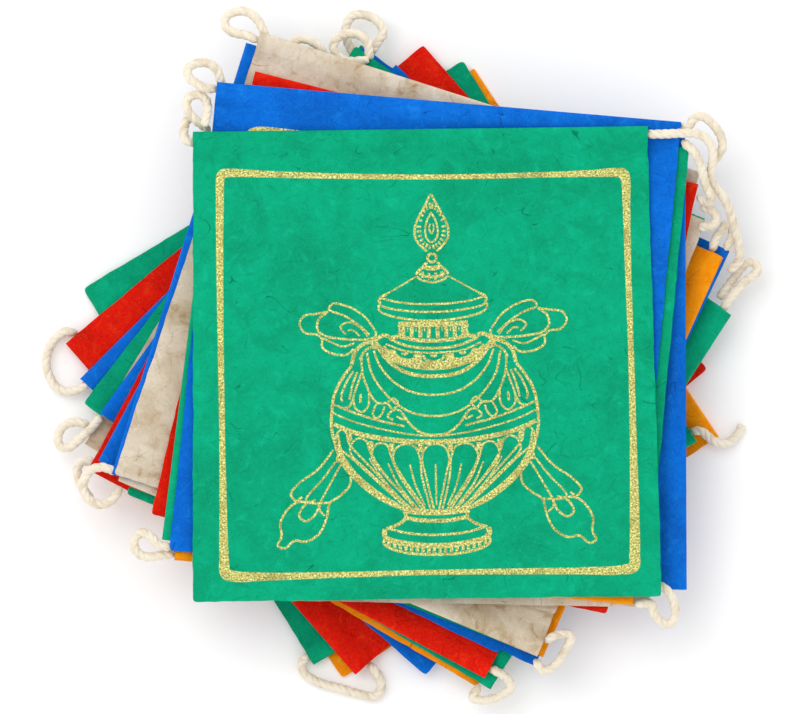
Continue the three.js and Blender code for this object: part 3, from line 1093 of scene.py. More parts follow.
    def build(self) -> bpy.types.Object:
        """Build and dress the flag.

        Returns:
            The sheet's object.
        """
        columns = [place / self.solid.wide for place in self.stations(self.solid.wide, True)]
        rows = self.rows()
        middle = np.array([[self.surface(s, depth, rise) for s in columns] for depth, rise, _ in rows])
        along = np.gradient(middle, axis=1)
        down = np.gradient(middle, axis=0)
        normal = np.cross(down, along)
        normal /= np.linalg.norm(normal, axis=2, keepdims=True)
        half = normal * self.sizes.paper / 2
        own = (self.number * 0.613 % 1.0, self.number * 0.287 % 1.0)
        sheet = [(own[0] + s * self.solid.wide, own[1] + flat) for _, _, flat in rows for s in columns]
        maker = MeshMaker()
        upper = maker.add_points((middle + half).reshape(-1, 3), sheet)
        lower = maker.add_points((middle - half).reshape(-1, 3), sheet)
        wide = len(columns)
        for row in range(len(rows) - 1):
            near = [upper + row * wide + i for i in range(wide)]
            far = [upper + (row + 1) * wide + i for i in range(wide)]
            maker.add_band(far, near)
            offset = lower - upper
            maker.add_band([i + offset for i in near], [i + offset for i in far])
        last = len(rows) - 1
        rim = list(range(wide))
        rim += [row * wide + wide - 1 for row in range(1, len(rows))]
        rim += [last * wide + i for i in range(wide - 2, -1, -1)]
        rim += [row * wide for row in range(last - 1, 0, -1)]
        maker.add_band([upper + i for i in rim], [lower + i for i in rim], closed=True)
        piece = maker.build(self.name, self.finish.material())
        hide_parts(self.solid.name)
        return piece


# The cord


class CordEnd(Enum):
    """How a visible stretch of the cord ends."""

    HEM = "in a hem"
    TUCKED = "under a flag"
    BARE = "free"


@dataclass(frozen=True)
class CordRun:
    """One visible stretch of the cord: its node, its two ends and the points it runs through."""

    node: str
    start: CordEnd
    end: CordEnd
    route: Route


CORD_RUNS = (
    CordRun(
        "cord_tl_0",
        CordEnd.HEM,
        CordEnd.BARE,
        (
            (-0.0985, 0.1035, 0.0507), (-0.1009, 0.1047, 0.0502), (-0.1018, 0.1080, 0.0483),
            (-0.1015, 0.1114, 0.0448), (-0.1006, 0.1145, 0.0414),
        ),
    ),
    CordRun(
        "cord_tl_1",
        CordEnd.TUCKED,
        CordEnd.TUCKED,
        (
            (-0.0924, 0.1111, 0.0448), (-0.0960, 0.1140, 0.0474), (-0.0993, 0.1178, 0.0486),
            (-0.1007, 0.1221, 0.0480), (-0.0986, 0.1255, 0.0468), (-0.0945, 0.1263, 0.0460),
            (-0.0912, 0.1236, 0.0470), (-0.0905, 0.1185, 0.0493), (-0.0914, 0.1140, 0.0508),
        ),
    ),
    CordRun(
        "cord_tl_2",
        CordEnd.HEM,
        CordEnd.TUCKED,
        (
            (-0.0880, 0.1291, 0.0496), (-0.0912, 0.1293, 0.0506), (-0.0952, 0.1312, 0.0508),
            (-0.0991, 0.1343, 0.0498), (-0.1001, 0.1384, 0.0486), (-0.0960, 0.1412, 0.0478),
            (-0.0900, 0.1412, 0.0472), (-0.0859, 0.1379, 0.0467), (-0.0845, 0.1336, 0.0463),
        ),
    ),
    CordRun(
        "cord_tl_3",
        CordEnd.HEM,
        CordEnd.TUCKED,
        (
            (-0.0678, 0.1531, 0.0378), (-0.0725, 0.1550, 0.0366), (-0.0788, 0.1565, 0.0350),
            (-0.0824, 0.1597, 0.0338), (-0.0816, 0.1642, 0.0330), (-0.0761, 0.1666, 0.0326),
            (-0.0709, 0.1659, 0.0330), (-0.0668, 0.1623, 0.0340), (-0.0643, 0.1576, 0.0348),
        ),
    ),
    CordRun(
        "cord_tl_4",
        CordEnd.TUCKED,
        CordEnd.TUCKED,
        (
            (-0.0522, 0.1501, 0.0336), (-0.0486, 0.1527, 0.0334), (-0.0441, 0.1532, 0.0322),
            (-0.0391, 0.1508, 0.0306), (-0.0362, 0.1479, 0.0290),
        ),
    ),
    CordRun(
        "cord_tl_5",
        CordEnd.TUCKED,
        CordEnd.TUCKED,
        (
            (-0.0173, 0.1432, 0.0234), (-0.0223, 0.1429, 0.0233), (-0.0278, 0.1448, 0.0229),
            (-0.0307, 0.1491, 0.0218), (-0.0293, 0.1537, 0.0212), (-0.0243, 0.1561, 0.0208),
            (-0.0185, 0.1556, 0.0208), (-0.0145, 0.1520, 0.0210), (-0.0137, 0.1472, 0.0214),
        ),
    ),
    CordRun(
        "cord_tl_6",
        CordEnd.HEM,
        CordEnd.HEM,
        (
            (-0.0119, 0.1485, 0.0141), (-0.0093, 0.1525, 0.0132), (-0.0068, 0.1573, 0.0124),
            (-0.0097, 0.1625, 0.0118), (-0.0157, 0.1655, 0.0112), (-0.0214, 0.1651, 0.0108),
            (-0.0245, 0.1611, 0.0104), (-0.0247, 0.1558, 0.0101), (-0.0235, 0.1510, 0.0099),
            (-0.0217, 0.1476, 0.0098),
        ),
    ),
    CordRun(
        "cord_bl_1",
        CordEnd.HEM,
        CordEnd.HEM,
        (
            (-0.1096, -0.0889, 0.0484), (-0.1139, -0.0880, 0.0486), (-0.1177, -0.0840, 0.0482),
            (-0.1215, -0.0822, 0.0476), (-0.1251, -0.0851, 0.0468), (-0.1253, -0.0896, 0.0458),
            (-0.1220, -0.0932, 0.0450), (-0.1168, -0.0938, 0.0444), (-0.1113, -0.0928, 0.0441),
            (-0.1079, -0.0926, 0.0439),
        ),
    ),
    CordRun(
        "cord_bl_2",
        CordEnd.HEM,
        CordEnd.HEM,
        (
            (-0.1364, -0.0527, 0.0348), (-0.1404, -0.0513, 0.0350), (-0.1457, -0.0521, 0.0350),
            (-0.1493, -0.0562, 0.0346), (-0.1502, -0.0617, 0.0340), (-0.1473, -0.0667, 0.0336),
            (-0.1420, -0.0691, 0.0334), (-0.1371, -0.0674, 0.0329), (-0.1336, -0.0631, 0.0323),
        ),
    ),
    CordRun(
        "cord_bl_3",
        CordEnd.HEM,
        CordEnd.TUCKED,
        (
            (-0.1478, -0.0485, 0.0195), (-0.1512, -0.0488, 0.0205), (-0.1532, -0.0519, 0.0220),
            (-0.1528, -0.0566, 0.0240), (-0.1512, -0.0607, 0.0260), (-0.1485, -0.0641, 0.0275),
        ),
    ),
    CordRun(
        "cord_bl_4",
        CordEnd.HEM,
        CordEnd.HEM,
        (
            (-0.1437, -0.0292, 0.0151), (-0.1466, -0.0325, 0.0164), (-0.1500, -0.0358, 0.0176),
            (-0.1536, -0.0390, 0.0176), (-0.1576, -0.0420, 0.0166), (-0.1612, -0.0418, 0.0154),
            (-0.1629, -0.0385, 0.0140), (-0.1619, -0.0339, 0.0126), (-0.1583, -0.0306, 0.0116),
            (-0.1538, -0.0299, 0.0110), (-0.1505, -0.0306, 0.0107),
        ),
    ),
    CordRun(
        "cord_bl_5",
        CordEnd.HEM,
        CordEnd.HEM,
        (
            (-0.1565, 0.0133, 0.0044), (-0.1595, 0.0136, 0.0048), (-0.1641, 0.0105, 0.0050),
            (-0.1677, 0.0048, 0.0050), (-0.1688, -0.0017, 0.0050), (-0.1672, -0.0081, 0.0050),
            (-0.1634, -0.0136, 0.0054), (-0.1581, -0.0152, 0.0060), (-0.1531, -0.0141, 0.0066),
            (-0.1500, -0.0123, 0.0070),
        ),
    ),
    CordRun(
        "cord_br_1",
        CordEnd.HEM,
        CordEnd.HEM,
        (
            (0.1212, -0.1091, 0.0418), (0.1258, -0.1080, 0.0424), (0.1299, -0.1119, 0.0428),
            (0.1320, -0.1173, 0.0424), (0.1320, -0.1228, 0.0418), (0.1289, -0.1262, 0.0418),
            (0.1251, -0.1243, 0.0423), (0.1218, -0.1200, 0.0430), (0.1211, -0.1164, 0.0435),
            (0.1158, -0.1162, 0.0436),
        ),
    ),
    CordRun(
        "cord_br_2",
        CordEnd.HEM,
        CordEnd.HEM,
        (
            (0.0723, -0.1331, 0.0350), (0.0759, -0.1314, 0.0345), (0.0802, -0.1307, 0.0332),
            (0.0828, -0.1322, 0.0316), (0.0807, -0.1377, 0.0302), (0.0752, -0.1458, 0.0290),
            (0.0694, -0.1484, 0.0286), (0.0668, -0.1453, 0.0290),
        ),
    ),
    CordRun(
        "cord_br_3",
        CordEnd.HEM,
        CordEnd.HEM,
        (
            (0.0459, -0.1485, 0.0206), (0.0513, -0.1515, 0.0206), (0.0544, -0.1565, 0.0194),
            (0.0498, -0.1605, 0.0182), (0.0415, -0.1631, 0.0175), (0.0357, -0.1616, 0.0174),
            (0.0379, -0.1579, 0.0175),
        ),
    ),
    CordRun(
        "cord_br_4",
        CordEnd.HEM,
        CordEnd.HEM,
        (
            (-0.0438, -0.1428, 0.0043), (-0.0462, -0.1453, 0.0043), (-0.0451, -0.1501, 0.0042),
            (-0.0391, -0.1544, 0.0040), (-0.0269, -0.1580, 0.0038), (-0.0171, -0.1608, 0.0036),
            (-0.0109, -0.1616, 0.0036), (-0.0080, -0.1577, 0.0040), (-0.0092, -0.1518, 0.0050),
            (-0.0125, -0.1475, 0.0059),
        ),
    ),
    CordRun(
        "cord_tr_0",
        CordEnd.HEM,
        CordEnd.HEM,
        (
            (0.1203, 0.1074, 0.0526), (0.1277, 0.1075, 0.0527), (0.1344, 0.1078, 0.0526),
            (0.1407, 0.1078, 0.0524), (0.1459, 0.1061, 0.0512), (0.1493, 0.1021, 0.0496),
            (0.1501, 0.0963, 0.0476), (0.1493, 0.0908, 0.0450), (0.1488, 0.0868, 0.0429),
            (0.1509, 0.0829, 0.0408), (0.1545, 0.0789, 0.0387), (0.1579, 0.0727, 0.0362),
            (0.1600, 0.0660, 0.0336), (0.1617, 0.0593, 0.0310), (0.1631, 0.0531, 0.0286),
            (0.1634, 0.0478, 0.0264), (0.1602, 0.0440, 0.0240),
        ),
    ),
    CordRun(
        "cord_tr_1",
        CordEnd.HEM,
        CordEnd.TUCKED,
        (
            (0.1360, 0.1108, 0.0480), (0.1383, 0.1109, 0.0480), (0.1406, 0.1142, 0.0482),
            (0.1435, 0.1161, 0.0484), (0.1471, 0.1149, 0.0478), (0.1512, 0.1111, 0.0470),
            (0.1540, 0.1064, 0.0460), (0.1548, 0.1016, 0.0446), (0.1531, 0.0978, 0.0428),
        ),
    ),
    CordRun(
        "cord_tr_2",
        CordEnd.HEM,
        CordEnd.HEM,
        (
            (0.1373, 0.1026, 0.0497), (0.1411, 0.0989, 0.0496), (0.1438, 0.0939, 0.0492),
            (0.1454, 0.0880, 0.0486), (0.1471, 0.0820, 0.0466), (0.1497, 0.0774, 0.0436),
            (0.1483, 0.0746, 0.0410), (0.1450, 0.0767, 0.0390),
        ),
    ),
    CordRun(
        "cord_tr_3",
        CordEnd.TUCKED,
        CordEnd.TUCKED,
        (
            (0.1476, 0.0724, 0.0344), (0.1508, 0.0707, 0.0334), (0.1523, 0.0674, 0.0326),
            (0.1502, 0.0641, 0.0330), (0.1469, 0.0636, 0.0337),
        ),
    ),
    CordRun(
        "cord_tr_4",
        CordEnd.HEM,
        CordEnd.HEM,
        (
            (0.1509, 0.0543, 0.0266), (0.1521, 0.0581, 0.0272), (0.1548, 0.0619, 0.0273),
            (0.1574, 0.0650, 0.0269), (0.1600, 0.0638, 0.0257), (0.1598, 0.0593, 0.0243),
            (0.1578, 0.0540, 0.0230),
        ),
    ),
    CordRun(
        "cord_tr_5",
        CordEnd.HEM,
        CordEnd.TUCKED,
        (
            (0.1562, 0.0251, 0.0172), (0.1600, 0.0304, 0.0178), (0.1655, 0.0368, 0.0176),
            (0.1700, 0.0402, 0.0172), (0.1724, 0.0430, 0.0168), (0.1712, 0.0462, 0.0164),
            (0.1677, 0.0466, 0.0160), (0.1641, 0.0433, 0.0156), (0.1598, 0.0375, 0.0150),
            (0.1559, 0.0323, 0.0144),
        ),
    ),
    CordRun(
        "cord_tr_6",
        CordEnd.HEM,
        CordEnd.BARE,
        (
            (0.1430, -0.0341, 0.0060), (0.1457, -0.0342, 0.0066), (0.1488, -0.0366, 0.0070),
            (0.1521, -0.0392, 0.0070), (0.1559, -0.0401, 0.0062), (0.1598, -0.0390, 0.0046),
            (0.1629, -0.0361, 0.0032), (0.1657, -0.0315, 0.0026),
        ),
    ),
)


@dataclass(frozen=True)
class CordSizes:
    """Sizes of the three-ply cotton cord."""

    diameter: float = 5.0 * MM
    ply: float = 1.5 * MM
    orbit: float = 0.78 * MM
    pitch: float = 10.4 * MM
    step: float = 0.7 * MM
    sides: int = 10
    in_hem: float = 2.6 * MM
    tucked: float = 3.4 * MM
    dip: float = 1.1 * MM
    shortest_declared: float = 30.0 * MM


def smooth_route(route: Sequence[Point], step: float) -> list[Vector]:
    """Run a centripetal curve through points and space it evenly.

    Args:
        route: The points.
        step: The distance between the curve's points.

    Returns:
        The evenly spaced points.
    """
    knots = [Vector(p) for p in route]
    knots = [knots[0] * 2 - knots[1], *knots, knots[-1] * 2 - knots[-2]]
    dense: list[Vector] = []
    for p0, p1, p2, p3 in zip(knots, knots[1:], knots[2:], knots[3:]):
        t1 = math.sqrt((p1 - p0).length)
        t2 = t1 + math.sqrt((p2 - p1).length)
        t3 = t2 + math.sqrt((p3 - p2).length)
        for i in range(24):
            t = t1 + (t2 - t1) * i / 24
            a1 = p0 * ((t1 - t) / t1) + p1 * (t / t1)
            a2 = p1 * ((t2 - t) / (t2 - t1)) + p2 * ((t - t1) / (t2 - t1))
            a3 = p2 * ((t3 - t) / (t3 - t2)) + p3 * ((t - t2) / (t3 - t2))
            b1 = a1 * ((t2 - t) / t2) + a2 * (t / t2)
            b2 = a2 * ((t3 - t) / (t3 - t1)) + a3 * ((t - t1) / (t3 - t1))
            dense.append(b1 * ((t2 - t) / (t2 - t1)) + b2 * ((t - t1) / (t2 - t1)))
    dense.append(knots[-2].copy())
    return evenly(dense, step)


def evenly(points: Sequence[Vector], step: float) -> list[Vector]:
    """Space points evenly along a line through them.

    Args:
        points: The line's points.
        step: About how far apart the new ones are.

    Returns:
        The new points, from the first to the last.
    """
    lengths = [0.0]
    for a, b in zip(points, points[1:]):
        lengths.append(lengths[-1] + (b - a).length)
    count = max(2, round(lengths[-1] / step))
    spaced, segment = [], 0
    for i in range(count + 1):
        goal = lengths[-1] * i / count
        while segment < len(points) - 2 and lengths[segment + 1] < goal:
            segment += 1
        span = lengths[segment + 1] - lengths[segment]
        share = (goal - lengths[segment]) / span if span else 0.0
        spaced.append(points[segment].lerp(points[segment + 1], min(max(share, 0.0), 1.0)))
    return spaced


def frames_along(points: Sequence[Vector]) -> list[tuple[Vector, Vector]]:
    """Carry a pair of cross directions along a line without twist.

    Args:
        points: The line's points.

    Returns:
        Two directions across the line at each point.
    """
    frames: list[tuple[Vector, Vector]] = []
    side = None
    for i in range(len(points)):
        ahead = (points[min(i + 1, len(points) - 1)] - points[max(i - 1, 0)]).normalized()
        if side is None:
            side = ahead.cross(UP if abs(ahead.z) < 0.9 else Vector((1.0, 0.0, 0.0)))
        side = (side - ahead * side.dot(ahead)).normalized()
        frames.append((side, ahead.cross(side)))
    return frames


@dataclass
class TwistedCord:
    """A visible stretch of the cord as a mesh of three twisted plies."""

    run: CordRun
    number: int
    sizes: CordSizes = field(default_factory=CordSizes)

    def centreline(self) -> list[Vector]:
        """Give the line that the plies twist round, carried on into the hems.

        Returns:
            The line's points.
        """
        line = smooth_route(self.run.route, self.sizes.step)
        extra = {CordEnd.HEM: self.sizes.in_hem, CordEnd.TUCKED: self.sizes.tucked, CordEnd.BARE: 0.0}
        drop = DOWN * self.sizes.dip
        first = line[0] + (line[0] - line[2]).normalized() * extra[self.run.start] + drop
        last = line[-1] + (line[-1] - line[-3]).normalized() * extra[self.run.end] + drop
        if extra[self.run.start]:
            line.insert(0, first)
        if extra[self.run.end]:
            line.append(last)
        return evenly(line, self.sizes.step)

    def width_share(self, along: float, length: float) -> float:
        """Give the cord's width at a place as a share of its full one.

        Args:
            along: The place, in metres from the start.
            length: The cord's length in the mesh.

        Returns:
            The share.
        """
        share = 1.0
        for end, gap in ((self.run.start, along), (self.run.end, length - along)):
            if end is CordEnd.HEM:
                inside = max(0.0, 1 - gap / self.sizes.in_hem)
                share *= 1 - 0.55 * inside
            elif end is CordEnd.TUCKED:
                inside = max(0.0, 1 - gap / (2 * MM))
                share *= math.sqrt(max(0.05, 1 - inside * inside))
        return share

    def ply_points(self, line: list[Vector], ply: int) -> list[Vector]:
        """Give one ply's own centreline.

        Args:
            line: The cord's centreline.
            ply: The ply's number.

        Returns:
            The ply's points.
        """
        sizes = self.sizes
        frames = frames_along(line)
        step = (line[1] - line[0]).length
        length = step * (len(line) - 1)
        points = []
        for i, (centre, (side, other)) in enumerate(zip(line, frames)):
            along = i * step
            angle = math.tau * (along / sizes.pitch + ply / 3 + 0.37 * self.number)
            angle += 0.35 * wave((along, 0.1 * self.number), 0.011, 5)
            orbit = sizes.orbit * self.width_share(along, length)
            for end, gap in ((self.run.start, along), (self.run.end, length - along)):
                if end is CordEnd.BARE:
                    orbit *= 1 + 0.5 * max(0.0, 1 - gap / (4 * MM)) ** 2
            orbit *= 1 + 0.08 * wave((along, ply * 0.3 + self.number), 0.006, 6)
            points.append(centre + (side * math.cos(angle) + other * math.sin(angle)) * orbit)
        return points

    def add_ply(self, maker: MeshMaker, line: list[Vector], ply: int) -> None:
        """Add one ply's tube with rounded ends.

        Args:
            maker: The mesh that it goes into.
            line: The cord's centreline.
            ply: The ply's number.
        """
        sizes = self.sizes
        points = self.ply_points(line, ply)
        frames = frames_along(points)
        step = (line[1] - line[0]).length
        length = step * (len(line) - 1)
        last = len(points) - 1
        rings = []
        for i, (centre, (side, other)) in enumerate(zip(points, frames)):
            along = i * step
            radius = sizes.ply * self.width_share(along, length)
            radius *= 1 + 0.07 * wave((along, ply + self.number * 0.5), 0.007, 7)
            if i in (0, last):
                radius *= 0.55
            spots, sheet = [], []
            for k in range(sizes.sides):
                turn = math.tau * k / sizes.sides
                spots.append(centre + (side * math.cos(turn) + other * math.sin(turn)) * radius)
                u = abs(k / sizes.sides - 0.5) * 2 * math.pi * sizes.ply + 0.35 * along
                sheet.append((u + 0.05 * ply + 0.013 * self.number, along + 0.11 * self.number))
            first = maker.add_points(spots, sheet)
            rings.append(list(range(first, first + sizes.sides)))
        for near, far in zip(rings, rings[1:]):
            maker.add_band(near, far, closed=True)
        maker.faces.append(tuple(reversed(rings[0])))
        maker.faces.append(tuple(rings[-1]))

    def build(self) -> bpy.types.Object:
        """Returns:
            The cord's object.
        """
        line = self.centreline()
        maker = MeshMaker()
        for ply in range(3):
            self.add_ply(maker, line, ply)
        piece = maker.build(self.run.node.replace("cord", "loop"), COTTON.material(), 75.0)
        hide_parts(self.run.node)
        return piece


# The gold print


@dataclass(frozen=True)
class Stroke:
    """One printed line in the print's own millimetres, u to the right and v up from the vase's belt."""

    points: tuple[tuple[float, float], ...]
    width: float = 1.25
    ends: float | None = None
    mirrored: bool = True
    closed: bool = False
    straight: bool = False
    widths: tuple[float, ...] = ()

    def both_halves(self) -> list["Stroke"]:
        """Give the stroke with its mirror image, as one line where the two meet on the axis.

        Returns:
            One or two strokes.
        """
        other = tuple((-u, v) for u, v in reversed(self.points))
        starts, stops = self.points[0][0] == 0, self.points[-1][0] == 0
        if starts and stops:
            return [replace(self, points=self.points + other[1:-1], closed=True)]
        if stops:
            return [replace(self, points=self.points + other[1:])]
        if starts:
            return [replace(self, points=other + self.points[1:])]
        return [self, replace(self, points=other)]

    def width_at(self, share: float) -> float:
        """Give the line's width at a place.

        Args:
            share: The share of the way along the stroke.

        Returns:
            The width, in millimetres.
        """
        if self.widths:
            knots = [*self.points, self.points[0]] if self.closed else list(self.points)
            widths = [*self.widths, self.widths[0]] if self.closed else list(self.widths)
            steps = [math.dist(a, b) for a, b in zip(knots, knots[1:])]
            return float(np.interp(share * sum(steps), np.cumsum([0.0, *steps]), widths))
        away = abs(2 * share - 1) ** 3
        return self.width + ((self.ends or self.width) - self.width) * away


class TreasureVase:
    """The print's motif, drawn half by half: a lidded vase with flame, bows, swags and ribbons."""

    PETAL_EDGES = (-47.6, -41.0, -30.8, -20.8, -7.0, 7.0, 20.8, 30.8, 41.0, 47.6)

    def strokes(self) -> list[Stroke]:
        """Draw the whole motif.

        Returns:
            All its strokes, with both halves of the mirrored ones.
        """
        parts = (self.flame(), self.lid(), self.collar(), self.swags(), self.bowl(), self.petals(),
                 self.foot(), self.bows(), self.ribbons())
        drawn = [stroke for part in parts for stroke in part]
        return [one for s in drawn for one in (s.both_halves() if s.mirrored else [s])]

    def flame(self) -> list[Stroke]:
        """Draw the flaming jewel and its knob.

        Returns:
            The strokes of one half, or of both where they are not mirrored.
        """
        outer = ((0, 104.5), (1.7, 101.8), (3.8, 97.6), (6.5, 92.8), (8.0, 88.2), (7.5, 83.4), (5.0, 80.0),
                 (2.0, 77.4))
        inner = ((0, 96.0), (2.1, 92.0), (3.0, 87.4), (2.2, 83.6), (0, 81.8))
        strokes = [Stroke(outer, 1.3), Stroke(inner, 1.1), Stroke(((0.6, 91.0), (1.1, 88.4), (0, 86.0)), 0.9)]
        for k in range(12):
            turn = math.radians(84 - 15 * k)
            tip = (4.6 * math.cos(turn), 88.0 + (9.6 if k < 5 else 7.2) * math.sin(turn))
            root = (tip[0] * 1.6, 88.0 + (tip[1] - 88.0) * 1.36)
            strokes.append(Stroke((root, tip), 1.15, straight=True))
        ring = tuple((2.1 * math.cos(a), 74.4 + 2.0 * math.sin(a)) for a in
                     (math.tau * i / 10 for i in range(10)))
        strokes.append(Stroke(ring, 1.5, mirrored=False, closed=True))
        strokes.append(Stroke(((2.4, 72.6), (4.2, 70.2), (6.4, 68.4), (7.8, 66.2)), 1.7))
        strokes.append(Stroke(((4.4, 70.6), (2.2, 69.7), (0, 69.4)), 2.6))
        strokes.append(Stroke(((6.4, 67.2), (3.4, 65.8), (0, 65.4)), 1.6))
        strokes.append(Stroke(((7.8, 66.0), (5.2, 64.0), (2.4, 63.2), (0, 62.8)), 1.3))
        strokes.append(Stroke(((4.6, 68.2), (4.6, 64.6)), 1.6, straight=True))
        strokes.append(Stroke(((1.6, 67.6), (1.6, 63.8)), 1.5, straight=True))
        return strokes

    def lid(self) -> list[Stroke]:
        """Draw the domed lid and its two rims.

        Returns:
            The strokes of one half, or of both where they are not mirrored.
        """
        return [
            Stroke(((7.6, 65.8), (13.0, 62.6), (19.0, 59.2), (24.8, 56.2)), 0.95),
            Stroke(((21.5, 57.6), (24.6, 56.2), (25.5, 54.6), (24.8, 52.9)), 1.5),
            Stroke(((25.2, 56.0), (19.0, 54.1), (10.0, 52.8), (0, 52.4)), 1.15),
            Stroke(((25.5, 53.4), (24.0, 51.8), (13.5, 49.5), (0, 48.7)), 1.2),
            Stroke(((25.6, 52.8), (25.7, 50.2), (23.2, 48.2), (13.0, 45.6), (0, 44.5)), 1.25),
        ]

    def collar(self) -> list[Stroke]:
        """Draw the fluted collar and the scalloped shoulder under it.

        Returns:
            The strokes of one half, or of both where they are not mirrored.
        """
        strokes = [
            Stroke(((16.8, 43.2), (8.0, 42.8), (0, 42.8)), 2.9),
            Stroke(((16.2, 43.2), (15.4, 40.0), (16.6, 37.6), (20.6, 36.6)), 2.3),
            Stroke(((16.2, 37.2), (8.0, 35.4), (0, 35.0)), 2.2),
            Stroke(((21.4, 36.4), (12.0, 32.6), (0, 31.4)), 1.5),
            Stroke(((23.0, 34.0), (14.0, 30.4), (7.0, 29.5), (0, 29.2)), 1.1),
            Stroke(((24.6, 32.6), (19.6, 27.4), (10.0, 24.0), (0, 23.0)), 5.0, 3.0),
            Stroke(((27.0, 33.0), (21.2, 25.4), (12.4, 19.8), (0, 18.1)), 2.2),
        ]
        for k in range(4):
            u = 2.05 + 4.05 * k
            strokes.append(Stroke(((u, 42.4), (u + 0.1, 36.0 + 0.25 * k)), 2.3, straight=True))
        for u in (4.1, 8.2, 12.2):
            strokes.append(Stroke(((u, 41.6), (u, 39.2)), 0.7, straight=True))
        for u, top in ((7.4, 29.2), (20.4, 31.4)):
            strokes.append(Stroke(((u, top), (u, top - 5.0)), 4.4, 5.6, straight=True))
        for u, top, rise, mirrored in ((0.0, 28.4, 0.0, False), (13.8, 29.6, 1.1, True)):
            strokes.append(Stroke(((u - 1.7, top), (u, top - 0.8), (u + 1.7, top)), 1.5, mirrored=mirrored))
            scallop = ((u - 5.0, top - rise), (u - 4.2, top - 2.0 - rise), (u, top - 3.4),
                       (u + 4.2, top - 2.0 + rise), (u + 5.0, top + rise))
            strokes.append(Stroke(scallop, 1.5, mirrored=mirrored))
        return strokes

    def swags(self) -> list[Stroke]:
        """Draw the hanging cloth and the leaves between it and the belt.

        Returns:
            The strokes of one half, or of both where they are not mirrored.
        """
        return [
            Stroke(((28.6, 31.0), (26.0, 24.0), (20.0, 16.4), (11.4, 11.0), (0, 9.2))),
            Stroke(((31.8, 30.0), (29.6, 19.8), (23.0, 9.8), (14.0, 2.4), (6.6, -0.2), (0, -0.9))),
            Stroke(((34.6, 28.6), (34.0, 19.8), (31.0, 11.4), (27.4, 6.0), (22.6, 5.4), (20.2, 2.6))),
            Stroke(((15.4, 0.6), (11.4, -5.0), (6.4, -8.8), (0, -9.9)), 1.4),
            Stroke(((19.8, 2.6), (17.4, 5.4), (19.6, 8.0), (22.6, 5.8)), 1.1),
            Stroke(((18.4, -0.6), (14.6, -2.4), (16.2, 1.6), (19.4, 2.4), (22.4, -0.6), (19.6, -2.6)), 1.15),
            Stroke(((27.6, 5.6), (29.6, 0.4), (27.6, -1.4), (25.2, 0.6), (23.8, 4.4)), 1.15),
            Stroke(((31.0, 11.0), (31.6, 4.6), (34.6, 1.6), (37.6, 3.4), (38.6, 8.0), (36.2, 15.6),
                    (34.4, 20.6)), 1.15),
            Stroke(((35.4, 5.6), (35.0, 10.6)), 1.5, 0.8, straight=True),
            Stroke(((38.6, 8.0), (41.0, 4.2), (44.6, 3.6)), 1.3),
            Stroke(((36.4, 21.0), (38.6, 15.6), (40.6, 7.4)), 1.2),
            Stroke(((38.2, 21.4), (42.0, 15.6), (44.4, 8.6), (43.6, 6.4)), 1.2),
        ]

    def bowl(self) -> list[Stroke]:
        """Draw the bowl's outline and its belts.

        Returns:
            The strokes of one half, or of both where they are not mirrored.
        """
        return [
            Stroke(((39.0, 24.0), (44.0, 17.4), (47.6, 10.0), (49.0, 2.0), (49.2, -6.0), (47.4, -14.0),
                    (43.0, -23.0)), 1.7),
            Stroke(((47.6, -14.0), (43.6, -22.4), (35.6, -31.6), (25.6, -39.4), (15.0, -45.2)), 4.2, 1.8),
            Stroke(((46.4, -8.6), (44.4, -18.0), (39.0, -26.6)), 1.3),
            Stroke(((48.8, 5.8), (40.0, 2.0), (28.0, -2.2), (14.2, -5.6)), 1.3),
            Stroke(((48.8, 1.6), (40.0, -2.4), (28.0, -6.0), (13.0, -9.2), (0, -10.4)), 1.0),
            Stroke(((48.4, -3.8), (38.0, -8.2), (26.0, -11.0), (12.0, -12.8), (0, -13.2)), 2.9, 2.2),
        ]

    def petals(self) -> list[Stroke]:
        """Draw the bowl's petals, narrower and closer towards its sides and its foot.

        Returns:
            The strokes of one half, or of both where they are not mirrored.
        """
        strokes = []
        low = -45.6
        for left, right in zip(self.PETAL_EDGES, self.PETAL_EDGES[1:]):
            middle = (left + right) / 2
            wide = (right - left) / 2
            top = -14.0 + 1.97e-6 * middle ** 4
            foot = 0.28 * middle
            arch = [
                (foot + 0.16 * (left - middle), low),
                (middle - 0.66 * wide + 0.28 * (foot - middle), top - 16.0),
                (middle - 0.92 * wide, top - 6.4),
                (middle - 0.6 * wide, top - 1.5),
                (middle, top - 0.1),
                (middle + 0.6 * wide, top - 1.5),
                (middle + 0.92 * wide, top - 6.4),
                (middle + 0.66 * wide + 0.28 * (foot - middle), top - 16.0),
                (foot + 0.16 * (right - middle), low),
            ]
            strokes.append(Stroke(tuple(arch), 1.15, mirrored=False))
            if abs(middle) < 40:
                vein = ((middle + 0.16 * (foot - middle), top - 9.5),
                        (middle + 0.42 * (foot - middle), top - 20.0), (foot + 0.1 * middle, low + 2.0))
                strokes.append(Stroke(vein, 1.1, 0.8, mirrored=False))
            if left > self.PETAL_EDGES[0]:
                edge = -13.8 + 1.97e-6 * left ** 4
                strokes.append(Stroke(((left, edge), (left * 0.995, edge - 4.4)), 3.1, 2.6, mirrored=False,
                                      straight=True))
        return strokes

